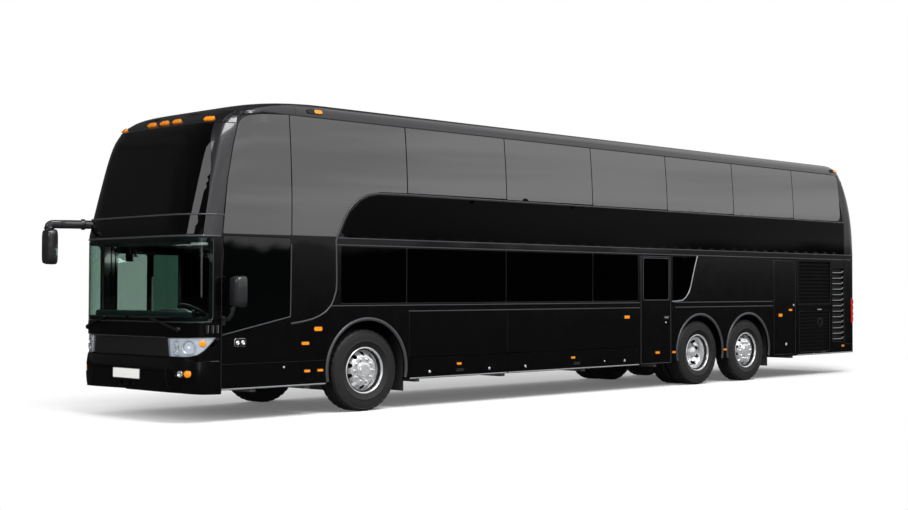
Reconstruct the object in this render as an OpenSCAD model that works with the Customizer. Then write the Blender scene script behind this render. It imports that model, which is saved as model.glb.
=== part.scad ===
// A three-axle double-deck motorcoach, left-hand drive, entry door on the right.
// +X is the vehicle's left, the front faces -Y, Z is up and the tyres stand on Z = 0.
// Every place along the vehicle is given as a distance behind the front axle.

/* [Overall] */
// Width of the body without mirrors
body_width = 2590; // [2400:10:2800]
// Height of the roof's crown
body_height = 3930; // [3800:5:4800]
// Front axle to drive axle
wheelbase = 7000; // [5800:10:8600]
// Drive axle to tag axle
tag_spacing = 1360; // [1300:10:1700]
// Front axle back to the foremost point of the front
front_overhang = 2650; // [2400:10:3200]
// Tag axle to the rear face
rear_overhang = 3490; // [2900:10:4200]

/* [Body] */
// Thickness of walls, doors, flaps and roof
wall = 60; // [40:5:80]
// Lower edge of the side skirts
skirt_z = 380; // [300:5:450]
// Lower edge of the front bumper
bumper_z = 330; // [260:5:360]
// Joint between bumper and front panel
bumper_top_z = 740; // [650:5:800]
// Top of the upper deck's floor, at the belt trim
belt_z = 2200; // [2050:5:2300]
// Lower edge of the lower deck's windows
lower_sill_z = 1400; // [1200:5:1500]
// Lower edge of the upper deck's windows
upper_sill_z = 2870; // [2600:5:3000]
// Depth of roof above the upper windows
roof_depth = 165; // [150:5:300]
// Radius of the edge between roof and side
roof_corner = 165; // [120:5:200]
// How far the side leans in between belt and roof
tumblehome = 70; // [0:5:120]
// How far the front corners lie behind the front's middle
plan_depth = 420; // [350:5:600]
// How far the front rolls back into the roof
brow_depth = 1450; // [1000:10:1600]
// How far the rear leans in at the roof
tail_depth = 700; // [400:10:900]
// Radius of the rear corners in plan
rear_corner = 150; // [80:5:250]
// Thickness of the glass
glass = 16; // [8:1:24]
// Gap round every door and flap
door_gap = 10; // [8:1:15]

/* [Wheels] */
// Diameter over the tread
tyre_diameter = 1060; // [960:5:1100]
// Width of one tyre
tyre_width = 315; // [260:5:330]
// Diameter of the tyre's seat on the rim
rim_seat = 570; // [500:5:600]
// Distance of the outer tyre wall from the body's side
wheel_inset = 40; // [20:5:80]
// Centre distance of twin tyres
twin_pitch = 345; // [335:5:380]
// Radius of the wheel arches
arch_radius = 620; // [590:5:680]
// Height of the arches' centre
arch_z = 565; // [520:5:620]
// Distance from the front wheel's middle to its kingpin
kingpin_offset = 130; // [110:5:150]

/* [Fittings] */
// Width of the entry door
entry_width = 1000; // [850:10:1050]
// Radius of the entry door's swing arms
arm_length = 700; // [600:10:760]
// Reach of both mirrors from the vehicle's middle
mirror_reach = 1570; // [1500:10:1700]
// Reach of the right mirror ahead of the front
mirror_ahead = 350; // [200:10:600]
// Diameter of the bore in each towing eye
tow_bore = 50; // [30:2:60]

/* [Hidden] */
$fn = 48;

half_w = body_width / 2;
rear_reach = wheelbase + tag_spacing + rear_overhang;
front_axle_y = (front_overhang + mirror_ahead - rear_reach) / 2;
function ay(d) = front_axle_y + d;
drive_d = wheelbase;
tag_d = wheelbase + tag_spacing;
rear_d = rear_reach;
hub_z = tyre_diameter / 2;
track_half = half_w - wheel_inset - tyre_width / 2;
kingpin_x = track_half - kingpin_offset;
window_top_z = body_height - roof_depth;
far = 20000;
seat_gap = 0.3;                       // play between a piece and what it stands on
inner = wall + 12;                    // depth that clears the inside of every door and flap
door_top_z = belt_z - 70;
flap_top_z = 675;
radiator_top_z = 1250;

// Places along the vehicle that panels share
side_d = -2190;                       // front shell to side walls
brow_d = -1195;                       // front shell to side walls above the belt
lip_d = -510;                         // rear edge of the tall glass behind the driver
flap_d = -655;                        // rear edge of the small skirt panel
bay_d = [700, 2530, 5440];            // skirt flaps
emergency_d = [5460, 6240];
luggage_d = [rear_d - 2750, rear_d - 2010];
radiator_d = [rear_d - 1980, rear_d - 860];
tail_d = rear_d - 400;                // side walls to rear shell
post = 30;                            // width of a window post
upper_posts = [-1195, 660, 2505, 4340, 6140, 7945, 9755];
upper_end_d = tail_d - 60;
lower_posts = [-480, 660, 2500, 4340, 5440];

// ---------------------------------------------------------------- body surface
// Half of the body's cross section as [x, z], from the skirt up to the crown, moved in by t
lean_z = 2500;
corner_turn = 84;
crown_x = half_w - tumblehome - roof_corner + roof_corner * cos(corner_turn);
crown_z = window_top_z + roof_corner * sin(corner_turn);
function side_lean(z) = tumblehome * pow(max(0, z - lean_z) / (window_top_z - lean_z), 2);
function half_section(t) = concat(
    [[half_w - t, bumper_z - (t > 0 ? 100 : 0)], [half_w - t, 2250]],
    [for (i = [0 : 5])
        let (z = lean_z + (window_top_z - lean_z) * i / 6) [half_w - t - side_lean(z), z]],
    [for (i = [0 : 5])
        let (a = corner_turn * i / 5)
        [half_w - tumblehome - roof_corner + (roof_corner - t) * cos(a),
            window_top_z + (roof_corner - t) * sin(a)]],
    [for (i = [1 : 4])
        let (x = crown_x * (1 - i / 4.4)) [x, body_height - t - (body_height - crown_z) * pow(x / crown_x, 2)]]);
// How far the front and the rear lie back at height z
brow_z = 2250;
brow_slope = 0.25;
brow_power = 10;
function front_back(z) = brow_slope * max(0, z - brow_z)
    + brow_depth * (1 - sqrt(1 - pow(min(1, max(0, z - brow_z) / (body_height - brow_z + 1)), brow_power)));
function rear_back(z) = tail_depth * (1 - sqrt(1 - pow(min(1, max(0, z - belt_z) / (body_height - belt_z + 1)), 2)));

front_steps = 12;
rear_steps = 4;
// One horizontal outline of the body through a point of its section
function ring(x, z, t) =
    let (depth = plan_depth * x / half_w, corner = min(rear_corner, x / 2))
    concat(
        [for (i = [-front_steps : front_steps])
            let (a = 90 * i / front_steps)
            [x * sign(a) * pow(abs(sin(a)), 0.25), ay(t - front_overhang) + front_back(z) + depth * (1 - cos(a)), z]],
        [for (i = [0 : rear_steps])
            let (a = 90 * i / rear_steps)
            [x - corner * (1 - cos(a)), ay(rear_d - t) - rear_back(z) - corner * (1 - sin(a)), z]],
        [for (i = [rear_steps : -1 : 0])
            let (a = 90 * i / rear_steps)
            [-x + corner * (1 - cos(a)), ay(rear_d - t) - rear_back(z) - corner * (1 - sin(a)), z]]);
module body_solid(t) {
    section = half_section(t);
    n = len(ring(100, 100, 0));
    last = len(section) - 1;
    points = [for (s = section) each ring(s[0], s[1], t)];
    sides = [for (j = [0 : last - 1]) for (i = [0 : n - 1])
        let (a = j * n + i, b = j * n + (i + 1) % n) each [[a, a + n, b], [b, a + n, b + n]]];
    caps = [[for (i = [0 : n - 1]) i], [for (i = [n - 1 : -1 : 0]) last * n + i]];
    polyhedron(points, concat(sides, caps), convexity = 4);
}
// The body's skin between two depths
module skin(outer, inner) {
    difference() {
        body_solid(outer);
        body_solid(inner);
    }
}
// A box from two corners, y given behind the front axle
module span(x, d, z) translate([x[0], ay(d[0]), z[0]]) cube([x[1] - x[0], d[1] - d[0], z[1] - z[0]]);
// An outline given as [d, z], carried across the vehicle between two x
module side_prism(outline, x) {
    translate([x[0], 0, 0]) rotate([90, 0, 90])
        linear_extrude(x[1] - x[0]) polygon([for (p = outline) [ay(p[0]), p[1]]]);
}
module both() {
    children();
    mirror([1, 0, 0]) children();
}
function box2(d0, d1, z0, z1) = [[d0, z0], [d1, z0], [d1, z1], [d0, z1]];

// ---------------------------------------------------------------- window outlines, as [d, z]
front_window = [[-2110, belt_z + 60], [brow_d - post / 2, belt_z + 60], [brow_d - post / 2, window_top_z - 10],
    [-1900, window_top_z - 10], [-2040, 3100]];
tall_edge = [for (a = [0 : 15 : 90]) [lip_d + 640 * (1 - cos(a)), belt_z + 110 + (upper_sill_z - belt_z - 110) * sin(a)]];
first_window = concat([[brow_d + post / 2, belt_z + 60], [lip_d, belt_z + 60]], tall_edge,
    [[upper_posts[1] - post / 2, upper_sill_z], [upper_posts[1] - post / 2, window_top_z - 10],
        [brow_d + post / 2, window_top_z - 10]]);
function upper_pane(i) = box2(upper_posts[i] + post / 2,
    i < len(upper_posts) - 1 ? upper_posts[i + 1] - post / 2 : upper_end_d, upper_sill_z, window_top_z - 10);
driver_window = [[-2150, 1060], [-1215, 1250], [-1215, belt_z], [-2150, belt_z]];
curved_window = concat([[brow_d + 20, belt_z - 50], [brow_d + 20, 1180]],
    [for (a = [0 : 15 : 90]) [lip_d - 20 - 560 * (1 - sin(a)), 1560 - 370 * cos(a)]],
    [[lip_d - 20, belt_z - 50]]);
function lower_pane(i) = box2(lower_posts[i] + post / 2, lower_posts[i + 1] - post / 2, lower_sill_z + 10, belt_z - 50);
quarter_window = [[emergency_d[1] + 20, 1420], [6530, 1420], [6690, 1530], [6770, 1720], [6900, belt_z - 50],
    [emergency_d[1] + 20, belt_z - 50]];
left_lower = concat([driver_window, curved_window], [for (i = [0 : 3]) lower_pane(i)], [quarter_window]);
right_lower = concat([for (i = [0 : 3]) lower_pane(i)],
    [box2(lower_posts[4] + post / 2, emergency_d[1] - 20, lower_sill_z + 10, belt_z - 50), quarter_window]);
upper_outlines = concat([first_window], [for (i = [1 : 6]) upper_pane(i)]);

side_x = [half_w - wall - 140, half_w + 40];

// ---------------------------------------------------------------- shell
module arch_cut(d, r = arch_radius) {
    translate([half_w - 400, ay(d), arch_z]) rotate([0, 90, 0]) cylinder(r = r, h = 800);
    span([half_w - 400, half_w + 400], [d - r, d + r], [0, arch_z]);
}
module side_wall_left() {
    difference() {
        intersection() {
            skin(0, wall);
            union() {
                span([600, half_w + 10], [side_d, tail_d], [skirt_z, belt_z]);
                span([600, half_w + 10], [brow_d, tail_d], [belt_z - 1, window_top_z]);
            }
        }
        for (o = upper_outlines) side_prism(o, side_x);
        arch_cut(0);
        arch_cut(drive_d);
        arch_cut(tag_d);
        span([half_w - 400, half_w + 400], [drive_d, tag_d], [0, 450]);
        side_prism(box2(luggage_d[0], luggage_d[1], skirt_z - 10, door_top_z), side_x);
        for (i = [0 : 1]) side_prism(box2(bay_d[i] + 10, bay_d[i + 1] - 10, skirt_z - 10, flap_top_z), side_x);
    }
}
// Hinges stand at the outer corner of a door's edge. Each is a lug on the jamb with a pin through it,
// and the door has a round notch for the lug and a bore for the pin. The jamb lies towards -Y here.
hinge_in = 8;
hinge_pin_r = 4;
lug_h = 50;
pin_h = 90;
module hinge_lug() {
    cylinder(r = hinge_in - 1, h = lug_h, center = true);
    translate([-6, -door_gap - hinge_in - 2, -lug_h / 2]) cube([12, door_gap + hinge_in + 2, lug_h]);
    cylinder(r = hinge_pin_r, h = pin_h, center = true);
}
module hinge_hole() {
    cylinder(r = door_gap + hinge_in + 6, h = lug_h + 10, center = true);
    cylinder(r = hinge_pin_r + seat_gap, h = pin_h + 2, center = true);
}
module on_front_edge(d, zs) for (z = zs)
    translate([half_w - hinge_in, ay(d + door_gap + hinge_in), z]) children();
module on_top_edge(z, ds) for (d = ds)
    translate([half_w - hinge_in, ay(d), z - door_gap - hinge_in]) rotate([-90, 0, 0]) children();
emergency_hinges = [600, 1200, 1900];
luggage_hinges = [700, 1300, 1900];
function flap_hinges(i) = [bay_d[i] + 200, bay_d[i + 1] - 200];
radiator_hinges = [radiator_d[0] + 150, radiator_d[1] - 150];
module common_hinges() {
    on_front_edge(luggage_d[0], luggage_hinges) hinge_lug();
    for (i = [0 : 1]) on_top_edge(flap_top_z, flap_hinges(i)) hinge_lug();
}
module left_side_wall() {
    color("#101012") {
        difference() {
            side_wall_left();
            for (o = left_lower) side_prism(o, side_x);
            side_prism(box2(emergency_d[0], emergency_d[1], skirt_z - 10, door_top_z), side_x);
            side_prism(box2(radiator_d[0], radiator_d[1], skirt_z - 10, radiator_top_z), side_x);
        }
        common_hinges();
        on_front_edge(emergency_d[0], emergency_hinges) hinge_lug();
        on_top_edge(radiator_top_z, radiator_hinges) hinge_lug();
    }
}
entry_d = [side_d + 50, side_d + 50 + entry_width];
module right_side_wall() {
    color("#101012") mirror([1, 0, 0]) {
        difference() {
            side_wall_left();
            for (o = right_lower) side_prism(o, side_x);
            side_prism(box2(entry_d[0], entry_d[1], skirt_z - 10, door_top_z), side_x);
        }
        common_hinges();
    }
}
module roof_shell() {
    color("#101012") intersection() {
        skin(0, wall);
        span([-half_w, half_w], [brow_d, tail_d], [window_top_z, body_height + 10]);
    }
}
lower_screen_z = [1210, 2220];
upper_screen_z = [2465, 3580];
lamp_x = [860, half_w + 1];
lamp_z = [790, 1005];
module screen_block(z, h = half_w - 30) span([-h, h], [-front_overhang - 10, side_d - 10], z);
module upper_screen_block(h = half_w - 45)
    rotate([90, 0, 0]) translate([0, 0, -ay(-1700)]) linear_extrude(1500)
        polygon([for (m = [1, -1]) each [for (p = m > 0 ? [[h, 2465], [h - 10, 2720], [h - 55, 3150], [h - 165, 3580]]
            : [[h - 165, 3580], [h - 55, 3150], [h - 10, 2720], [h, 2465]]) [m * p[0], p[1]]]]);
module lamp_block() both() span(lamp_x, [-front_overhang - 10, side_d - 15], lamp_z);
module front_shell() {
    color("#101012") difference() {
        intersection() {
            skin(0, wall);
            union() {
                span([-far, far], [-far, side_d], [bumper_top_z, body_height + 10]);
                span([-far, far], [-far, brow_d], [belt_z, body_height + 10]);
            }
        }
        screen_block(lower_screen_z);
        upper_screen_block();
        lamp_block();
        both() side_prism(front_window, side_x);
    }
}
module front_bumper() {
    color("#0c0c0e") difference() {
        intersection() {
            skin(0, wall);
            span([-far, far], [-far, side_d], [bumper_z, bumper_top_z - 4]);
        }
        span([-60, 60], [-front_overhang - 10, 0], [380, 440]);
    }
}
engine_door_x = 900;
engine_door_z = [560, 1900];
rear_window_x = 900;
rear_window_z = [2900, 3500];
module rear_block(x, z) span([-x, x], [tail_d + 150, rear_d + 10], z);
tail_lamp_z = [950, 1420];
module tail_lamp_block() both() span([half_w - 190, half_w + 1], [rear_d - 170, rear_d + 10], tail_lamp_z);
module at_engine_hinges() for (x = [-500, 500])
    translate([x, ay(rear_d) - hinge_in, engine_door_z[1] - door_gap - hinge_in]) rotate([0, 90, 0]) rotate([0, 0, -90])
        children();
module rear_shell() {
    color("#101012") difference() {
        intersection() {
            skin(0, wall);
            span([-far, far], [tail_d, far], [skirt_z, body_height + 10]);
        }
        rear_block(engine_door_x, engine_door_z);
        rear_block(rear_window_x, rear_window_z);
        tail_lamp_block();
    }
    color("#101012") at_engine_hinges() hinge_lug();
}

// ---------------------------------------------------------------- glass
module upper_windscreen() {
    color("#26282b", 0.6) intersection() {
        skin(2, 2 + glass);
        upper_screen_block(half_w - 45 - seat_gap);
    }
}
module lower_windscreen() {
    color("#7a9189", 0.5) intersection() {
        skin(2, 2 + glass);
        screen_block(lower_screen_z);
    }
}
module upper_windows() {
    color("#55565a", 0.7) {
        both() intersection() {
            skin(2, 2 + glass);
            union() {
                for (o = upper_outlines) side_prism(o, side_x);
                side_prism(front_window, side_x);
            }
        }
        intersection() {
            skin(2, 2 + glass);
            rear_block(rear_window_x, rear_window_z);
        }
    }
}
module lower_windows() {
    color("#1a1b1d", 0.7) {
        intersection() {
            skin(2, 2 + glass);
            for (o = left_lower) side_prism(o, side_x);
        }
        intersection() {
            skin(2, 2 + glass);
            mirror([1, 0, 0]) for (o = right_lower) side_prism(o, side_x);
        }
    }
}

// ---------------------------------------------------------------- lamps
module headlamps() {
    color("#c9ccd0") intersection() {
        skin(3, wall);
        lamp_block();
    }
}
module tail_lamps() {
    color("#a01a18") intersection() {
        skin(0, wall);
        tail_lamp_block();
    }
}

// ---------------------------------------------------------------- doors and flaps
g = door_gap;
module side_leaf(d0, d1, z0, z1) {
    intersection() {
        skin(0, wall);
        side_prism(box2(d0 + g, d1 - g, z0 + g, z1 - g), [half_w - wall - 1, half_w + 1]);
    }
}
module emergency_door() {
    color("#131315") difference() {
        side_leaf(emergency_d[0], emergency_d[1], skirt_z - g, door_top_z);
        side_prism(box2(emergency_d[0] + 75, emergency_d[1] - 65, lower_sill_z + 10, door_top_z - 50), side_x);
        on_front_edge(emergency_d[0], emergency_hinges) hinge_hole();
    }
}
module left_luggage_door() {
    color("#131315") difference() {
        side_leaf(luggage_d[0], luggage_d[1], skirt_z - g, door_top_z);
        on_front_edge(luggage_d[0], luggage_hinges) hinge_hole();
    }
}
module right_luggage_door() mirror([1, 0, 0]) left_luggage_door();
module radiator_door() {
    color("#0d0d0f") difference() {
        side_leaf(radiator_d[0], radiator_d[1], skirt_z - g, radiator_top_z);
        on_top_edge(radiator_top_z, radiator_hinges) hinge_hole();
    }
}
module skirt_flap(i) {
    difference() {
        side_leaf(bay_d[i] + 10, bay_d[i + 1] - 10, skirt_z - g, flap_top_z);
        on_top_edge(flap_top_z, flap_hinges(i)) hinge_hole();
    }
}
module left_front_flap() color("#131315") skirt_flap(0);
module left_rear_flap() color("#131315") skirt_flap(1);
module right_front_flap() color("#131315") mirror([1, 0, 0]) skirt_flap(0);
module right_rear_flap() color("#131315") mirror([1, 0, 0]) skirt_flap(1);
module engine_door() {
    color("#131315") difference() {
        intersection() {
            skin(0, wall);
            rear_block(engine_door_x - g, [engine_door_z[0] + g, engine_door_z[1] - g]);
        }
        at_engine_hinges() hinge_hole();
    }
}
// Entry door: its two arms turn on a post at the doorway's rear edge
arm_lead = 5;
arm_post = [-(half_w - wall - 110), entry_d[1] - 130];
arm_end = [arm_post[0] + arm_length * sin(arm_lead), arm_post[1] - arm_length * cos(arm_lead)];
arm_levels = [640, door_top_z - 70];
arm_r = 22;
module entry_door() {
    color("#131315") {
        difference() {
            mirror([1, 0, 0]) side_leaf(entry_d[0], entry_d[1], skirt_z - g, door_top_z);
            mirror([1, 0, 0]) side_prism(box2(entry_d[0] + 90, entry_d[1] - 90, 760, door_top_z - 140), side_x);
        }
        for (z = arm_levels) for (s = [-1, 1]) {
            translate([-(half_w - wall), ay(arm_end[1]) - 30, z + s * 45 - 10]) cube([half_w - wall + arm_end[0] + 28, 60, 20]);
        }
    }
}
module entry_door_arm() {
    color("#2a2a2c") translate([0, ay(0), 0]) {
        translate([arm_post[0], arm_post[1], floor_z[1] + seat_gap]) cylinder(r = arm_r, h = belt_z - 60 - floor_z[1] - 2 * seat_gap);
        for (z = arm_levels) {
            translate([arm_post[0], arm_post[1], z]) rotate([0, 0, -90 + arm_lead])
                translate([0, -arm_r + 6, -20]) cube([arm_length, 2 * arm_r - 12, 40]);
            translate([arm_end[0], arm_end[1], z - 34.5]) cylinder(r = arm_r, h = 69);
        }
    }
}

// ---------------------------------------------------------------- structure
housing_half = 660;
housing_top_z = 1230;
housing_x = 500;
twin_face_x = track_half - twin_pitch - tyre_width / 2;
module housing(d0, d1, x0) {
    difference() {
        span([x0, half_w - wall], [d0, d1], [skirt_z, housing_top_z]);
        span([x0 + 20, half_w + 10], [d0 + 20, d1 - 20], [0, housing_top_z - 20]);
    }
}
axle_hole_r = 90;
module mud_flap(d) span([track_half - tyre_width / 2 - 20, half_w - wall - 10], [d, d + 12], [230, skirt_z + 60]);
module wheel_housings() {
    color("#1c1c1e") both() {
        housing(-housing_half, housing_half, housing_x);
        difference() {
            housing(drive_d - housing_half, tag_d + housing_half, twin_face_x - 75);
            for (d = [drive_d, tag_d]) translate([0, ay(d), 0]) x_cylinder(axle_hole_r, twin_face_x - 100, twin_face_x, hub_z);
        }
        mud_flap(housing_half - 12);
        mud_flap(tag_d + housing_half - 12);
    }
}
floor_z = [420, 470];
rear_bulk_d = drive_d - housing_half - 60;
platform_z = 700;
steps = 7;
stair_x = [-1150, -560];
stair_d = 850;
tread = 230;
rise = (belt_z - floor_z[1]) / (steps + 1);
module lower_floor() {
    color("#3a3a3c") {
        difference() {
            union() {
                intersection() {
                    body_solid(inner);
                    span([-far, far], [-2560, rear_bulk_d + 40], floor_z);
                }
                intersection() {
                    body_solid(wall);
                    union() {
                        span([-far, far], [rear_bulk_d, rear_bulk_d + 40], [floor_z[0], belt_z - 60]);
                        span([-far, far], [rear_bulk_d, luggage_d[0] - 60], [housing_top_z, housing_top_z + 40]);
                    }
                }
            }
            both() span([housing_x, half_w], [-housing_half, housing_half], [0, housing_top_z]);
        }
        span([150, half_w - wall], [-1950, -housing_half], [floor_z[1], platform_z]);
    }
}
// The luggage bay: its floor between two bulkheads
module luggage_box() {
    color("#3a3a3c") {
        intersection() {
            body_solid(inner);
            span([-far, far], [luggage_d[0] - 20, luggage_d[1] + 2], floor_z);
        }
        intersection() {
            body_solid(wall);
            union() {
                span([-far, far], [luggage_d[0] - 60, luggage_d[0] - 20], [floor_z[0], belt_z - 60]);
                span([-far, far], [luggage_d[1] + 2, luggage_d[1] + 26], [floor_z[0], belt_z - 60]);
            }
        }
    }
}
module stairs() {
    color("#3a3a3c") {
        for (i = [1 : steps])
            span(stair_x, [stair_d + tread * (i - 1), stair_d + tread * i + 20], [floor_z[1] + rise * i - 40, floor_z[1] + rise * i]);
        for (x = [stair_x[0], stair_x[1] - 30])
            side_prism([[stair_d, floor_z[1]], [stair_d + 260, floor_z[1]], [stair_d + tread * steps + 20, belt_z - 260],
                [stair_d + tread * steps + 20, floor_z[1] + rise * steps], [stair_d, floor_z[1] + rise]], [x, x + 30]);
    }
}
module upper_floor() {
    color("#3a3a3c") difference() {
        intersection() {
            body_solid(wall);
            span([-far, far], [-2500, tail_d], [belt_z - 60, belt_z]);
        }
        span([stair_x[0] - 10, stair_x[1] + 10], [stair_d - 50, stair_d + tread * steps + 25], [belt_z - 100, belt_z + 100]);
    }
}
rail_x = [300, 420];
rail_low = [340, floor_z[0]];
rail_high = [760, 880];
cross_d = [-1700, -900, 900, 2500, 4200, 5900];
eye_z = 380;
jack_d = [-1300, 5500];
split_d = rear_bulk_d + 100;          // the ladder frame in front meets the raised frame over the rear axles
module front_frame() {
    color("#2b2c2e") {
        both() {
            span(rail_x, [-2440, split_d], rail_low);
            for (d = jack_d) span(rail_x, [d - 60, d + 60], [rail_low[0] - 20, rail_low[0]]);
        }
        for (d = cross_d) span([inner - half_w, half_w - inner], [d - 40, d + 40], rail_low);
        span([-rail_x[1], rail_x[1]], [-2440, -2360], rail_low);
    }
}
module rear_frame() {
    color("#2b2c2e") {
        both() {
            span(rail_x, [rear_bulk_d + 40, split_d], [rail_low[1], rail_high[1]]);
            span(rail_x, [rear_bulk_d + 40, luggage_d[0] - 60], rail_high);
            span(rail_x, [luggage_d[0] - 160, luggage_d[0] - 60], [rail_low[0], rail_high[1]]);
            span([rail_x[0], 620], [luggage_d[0] - 75, luggage_d[0] + 25], rail_low);
            span([500, 620], [luggage_d[0] - 75, rear_d - 150], rail_low);
        }
        span([-620, 620], [rear_d - 230, rear_d - 150], rail_low);
        span([inner - half_w, half_w - inner], [luggage_d[1] - 100, luggage_d[1] - 20], rail_low);
        for (d = [rear_bulk_d + 70, tag_d + 420]) span([-rail_x[1], rail_x[1]], [d - 30, d + 30], rail_high);
    }
}
module towing_eyes() {
    color("#2b2c2e") difference() {
        union() {
            span([-40, 40], [-2560, -2440], [eye_z - 15, eye_z + 15]);
            span([-40, 40], [rear_d - 150, rear_d - 70], [eye_z - 15, eye_z + 15]);
        }
        for (d = [-2515, rear_d - 115]) translate([0, ay(d), eye_z - 100]) cylinder(d = tow_bore, h = 200);
    }
}
module engine_block() {
    color("#4a4c50") {
        span([-450, 450], [radiator_d[0] + 140, rear_d - 480], [rail_low[1] + 60, 1450]);
        span([-620, 620], [radiator_d[0] + 400, radiator_d[0] + 560], [rail_low[1], rail_low[1] + 60]);
    }
}

// ---------------------------------------------------------------- axles
eye_h = 120;
pin_r = 25;
spindle_r = 44;
module x_cylinder(r, x0, x1, z) translate([x0, 0, z]) rotate([0, 90, 0]) cylinder(r = r, h = x1 - x0);
module front_axle() {
    color("#2b2c2e") translate([0, ay(0), 0]) difference() {
        union() {
            translate([-820, -60, rail_low[0] - 100]) cube([1640, 120, 100]);
            both() {
                translate([720, -60, rail_low[0] - 100]) cube([100, 120, hub_z + eye_h / 2 - rail_low[0] + 100]);
                translate([720, -60, hub_z - eye_h / 2]) cube([kingpin_x - 720, 120, eye_h]);
                translate([kingpin_x, 0, hub_z - eye_h / 2]) cylinder(r = 60, h = eye_h);
            }
        }
        both() translate([kingpin_x, 0, 0]) cylinder(r = pin_r + 0.5, h = 1000);
    }
}
module knuckle() {
    color("#3a3b3d") translate([0, ay(0), 0]) {
        translate([kingpin_x, 0, hub_z - 105]) cylinder(r = pin_r, h = 210);
        for (z = [hub_z - 105, hub_z + eye_h / 2 + 1]) {
            translate([kingpin_x, 0, z]) cylinder(r = 55, h = 44);
            translate([kingpin_x, -55, z]) cube([110, 110, 44]);
        }
        translate([kingpin_x + 70, -55, hub_z - 105]) cube([40, 110, 210]);
        x_cylinder(spindle_r, kingpin_x + 80, track_half + 50, hub_z);
    }
}
module left_knuckle() knuckle();
module right_knuckle() mirror([1, 0, 0]) knuckle();
module drive_axle() {
    color("#2b2c2e") translate([0, ay(drive_d), 0]) {
        x_cylinder(75, 80 - twin_face_x, twin_face_x - 80, hub_z);
        x_cylinder(spindle_r, -track_half - 50, track_half + 50, hub_z);
        x_cylinder(230, -130, 130, hub_z);
        both() translate([(rail_x[0] + rail_x[1]) / 2, 0, hub_z]) cylinder(r = 55, h = rail_high[0] - hub_z);
    }
}
module tag_axle() {
    color("#2b2c2e") translate([0, ay(tag_d), 0]) {
        x_cylinder(60, 90 - kingpin_x, kingpin_x - 90, hub_z);
        x_cylinder(spindle_r, -track_half - 50, track_half + 50, hub_z);
        both() translate([(rail_x[0] + rail_x[1]) / 2, 0, hub_z]) cylinder(r = 55, h = rail_high[0] - hub_z);
    }
}

// ---------------------------------------------------------------- wheels, built along +Z outwards
seat_r = rim_seat / 2;
tread_r = tyre_diameter / 2;
module tyre() {
    w = tyre_width / 2;
    color("#17171a") rotate_extrude() polygon([[seat_r, -w + 20], [seat_r + 25, -w + 4], [seat_r + 90, -w],
        [tread_r - 50, -w + 8], [tread_r - 12, -w + 22], [tread_r, -w + 45], [tread_r, w - 45],
        [tread_r - 12, w - 22], [tread_r - 50, w - 8], [seat_r + 90, w], [seat_r + 25, w - 4], [seat_r, w - 20]]);
}
hub_r = 130;
module barrel() {
    w = tyre_width / 2 - 20;
    rotate_extrude() polygon([[seat_r - 16, -w - 18], [seat_r + 12, -w - 18], [seat_r + 12, -w - 8], [seat_r, -w],
        [seat_r, w], [seat_r + 12, w + 8], [seat_r + 12, w + 18], [seat_r - 16, w + 18]]);
}
module disc(z) {
    difference() {
        translate([0, 0, z]) cylinder(r = seat_r - 10, h = 16);
        for (i = [0 : 9]) rotate([0, 0, 36 * i]) translate([215, 0, z - 10]) cylinder(r = 28, h = 40);
    }
}
module hub(z0, z1) difference() {
    translate([0, 0, z0]) cylinder(r = hub_r, h = z1 - z0);
    translate([0, 0, z0 - 1]) cylinder(r = spindle_r + 1, h = max(52 - z0, 0) + 1);
}
module single_rim() {
    color("#c4c6c9") {
        barrel();
        disc(70);
        hub(-10, 105);
    }
}
module twin_rim() {
    color("#c4c6c9") difference() {
        union() {
            barrel();
            translate([0, 0, -twin_pitch]) barrel();
            disc(-70);
            disc(-twin_pitch + 60);
            translate([0, 0, -twin_pitch + 20]) cylinder(r = hub_r, h = twin_pitch + 60);
        }
        translate([0, 0, -twin_pitch]) cylinder(r = spindle_r + 1, h = twin_pitch + 52);
    }
}
module at_wheel(side, d) translate([side * track_half, ay(d), hub_z]) rotate([0, side * 90, 0]) children();
module twin_tyres() {
    tyre();
    translate([0, 0, -twin_pitch]) tyre();
}
module front_left_tyre() at_wheel(1, 0) tyre();
module front_left_rim() at_wheel(1, 0) single_rim();
module front_right_tyre() at_wheel(-1, 0) tyre();
module front_right_rim() at_wheel(-1, 0) single_rim();
module drive_left_tyres() at_wheel(1, drive_d) twin_tyres();
module drive_left_rim() at_wheel(1, drive_d) twin_rim();
module drive_right_tyres() at_wheel(-1, drive_d) twin_tyres();
module drive_right_rim() at_wheel(-1, drive_d) twin_rim();
module tag_left_tyre() at_wheel(1, tag_d) tyre();
module tag_left_rim() at_wheel(1, tag_d) single_rim();
module tag_right_tyre() at_wheel(-1, tag_d) tyre();
module tag_right_rim() at_wheel(-1, tag_d) single_rim();

// ---------------------------------------------------------------- fittings
module left_mirror() {
    color("#0c0c0e") {
        translate([mirror_reach - 170, ay(-2170), 1370]) cube([170, 90, 370]);
        difference() {
            translate([half_w - 20, ay(side_d), 1150]) cube([60, 38, 110]);
            body_solid(-seat_gap);
        }
        translate([half_w + 10, ay(side_d), 1200]) cube([mirror_reach - half_w - 110, 38, 50]);
        translate([mirror_reach - 130, ay(side_d), 1200]) cube([50, 38, 171]);
    }
}
head_d = -front_overhang - mirror_ahead;
arm_z = [2370, 2460];
module right_mirror() {
    color("#0c0c0e") {
        translate([-mirror_reach, ay(head_d), 1900]) cube([220, 130, 450]);
        translate([-mirror_reach + 80, ay(head_d + 20), 2340]) cube([80, 90, arm_z[0] - 2340]);
        difference() {
            hull() {
                translate([-mirror_reach + 80, ay(head_d + 20), arm_z[0]]) cube([80, 90, arm_z[1] - arm_z[0]]);
                translate([-1210, ay(-2300), arm_z[0]]) cube([60, 60, arm_z[1] - arm_z[0]]);
            }
            body_solid(-seat_gap);
        }
    }
}
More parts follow.
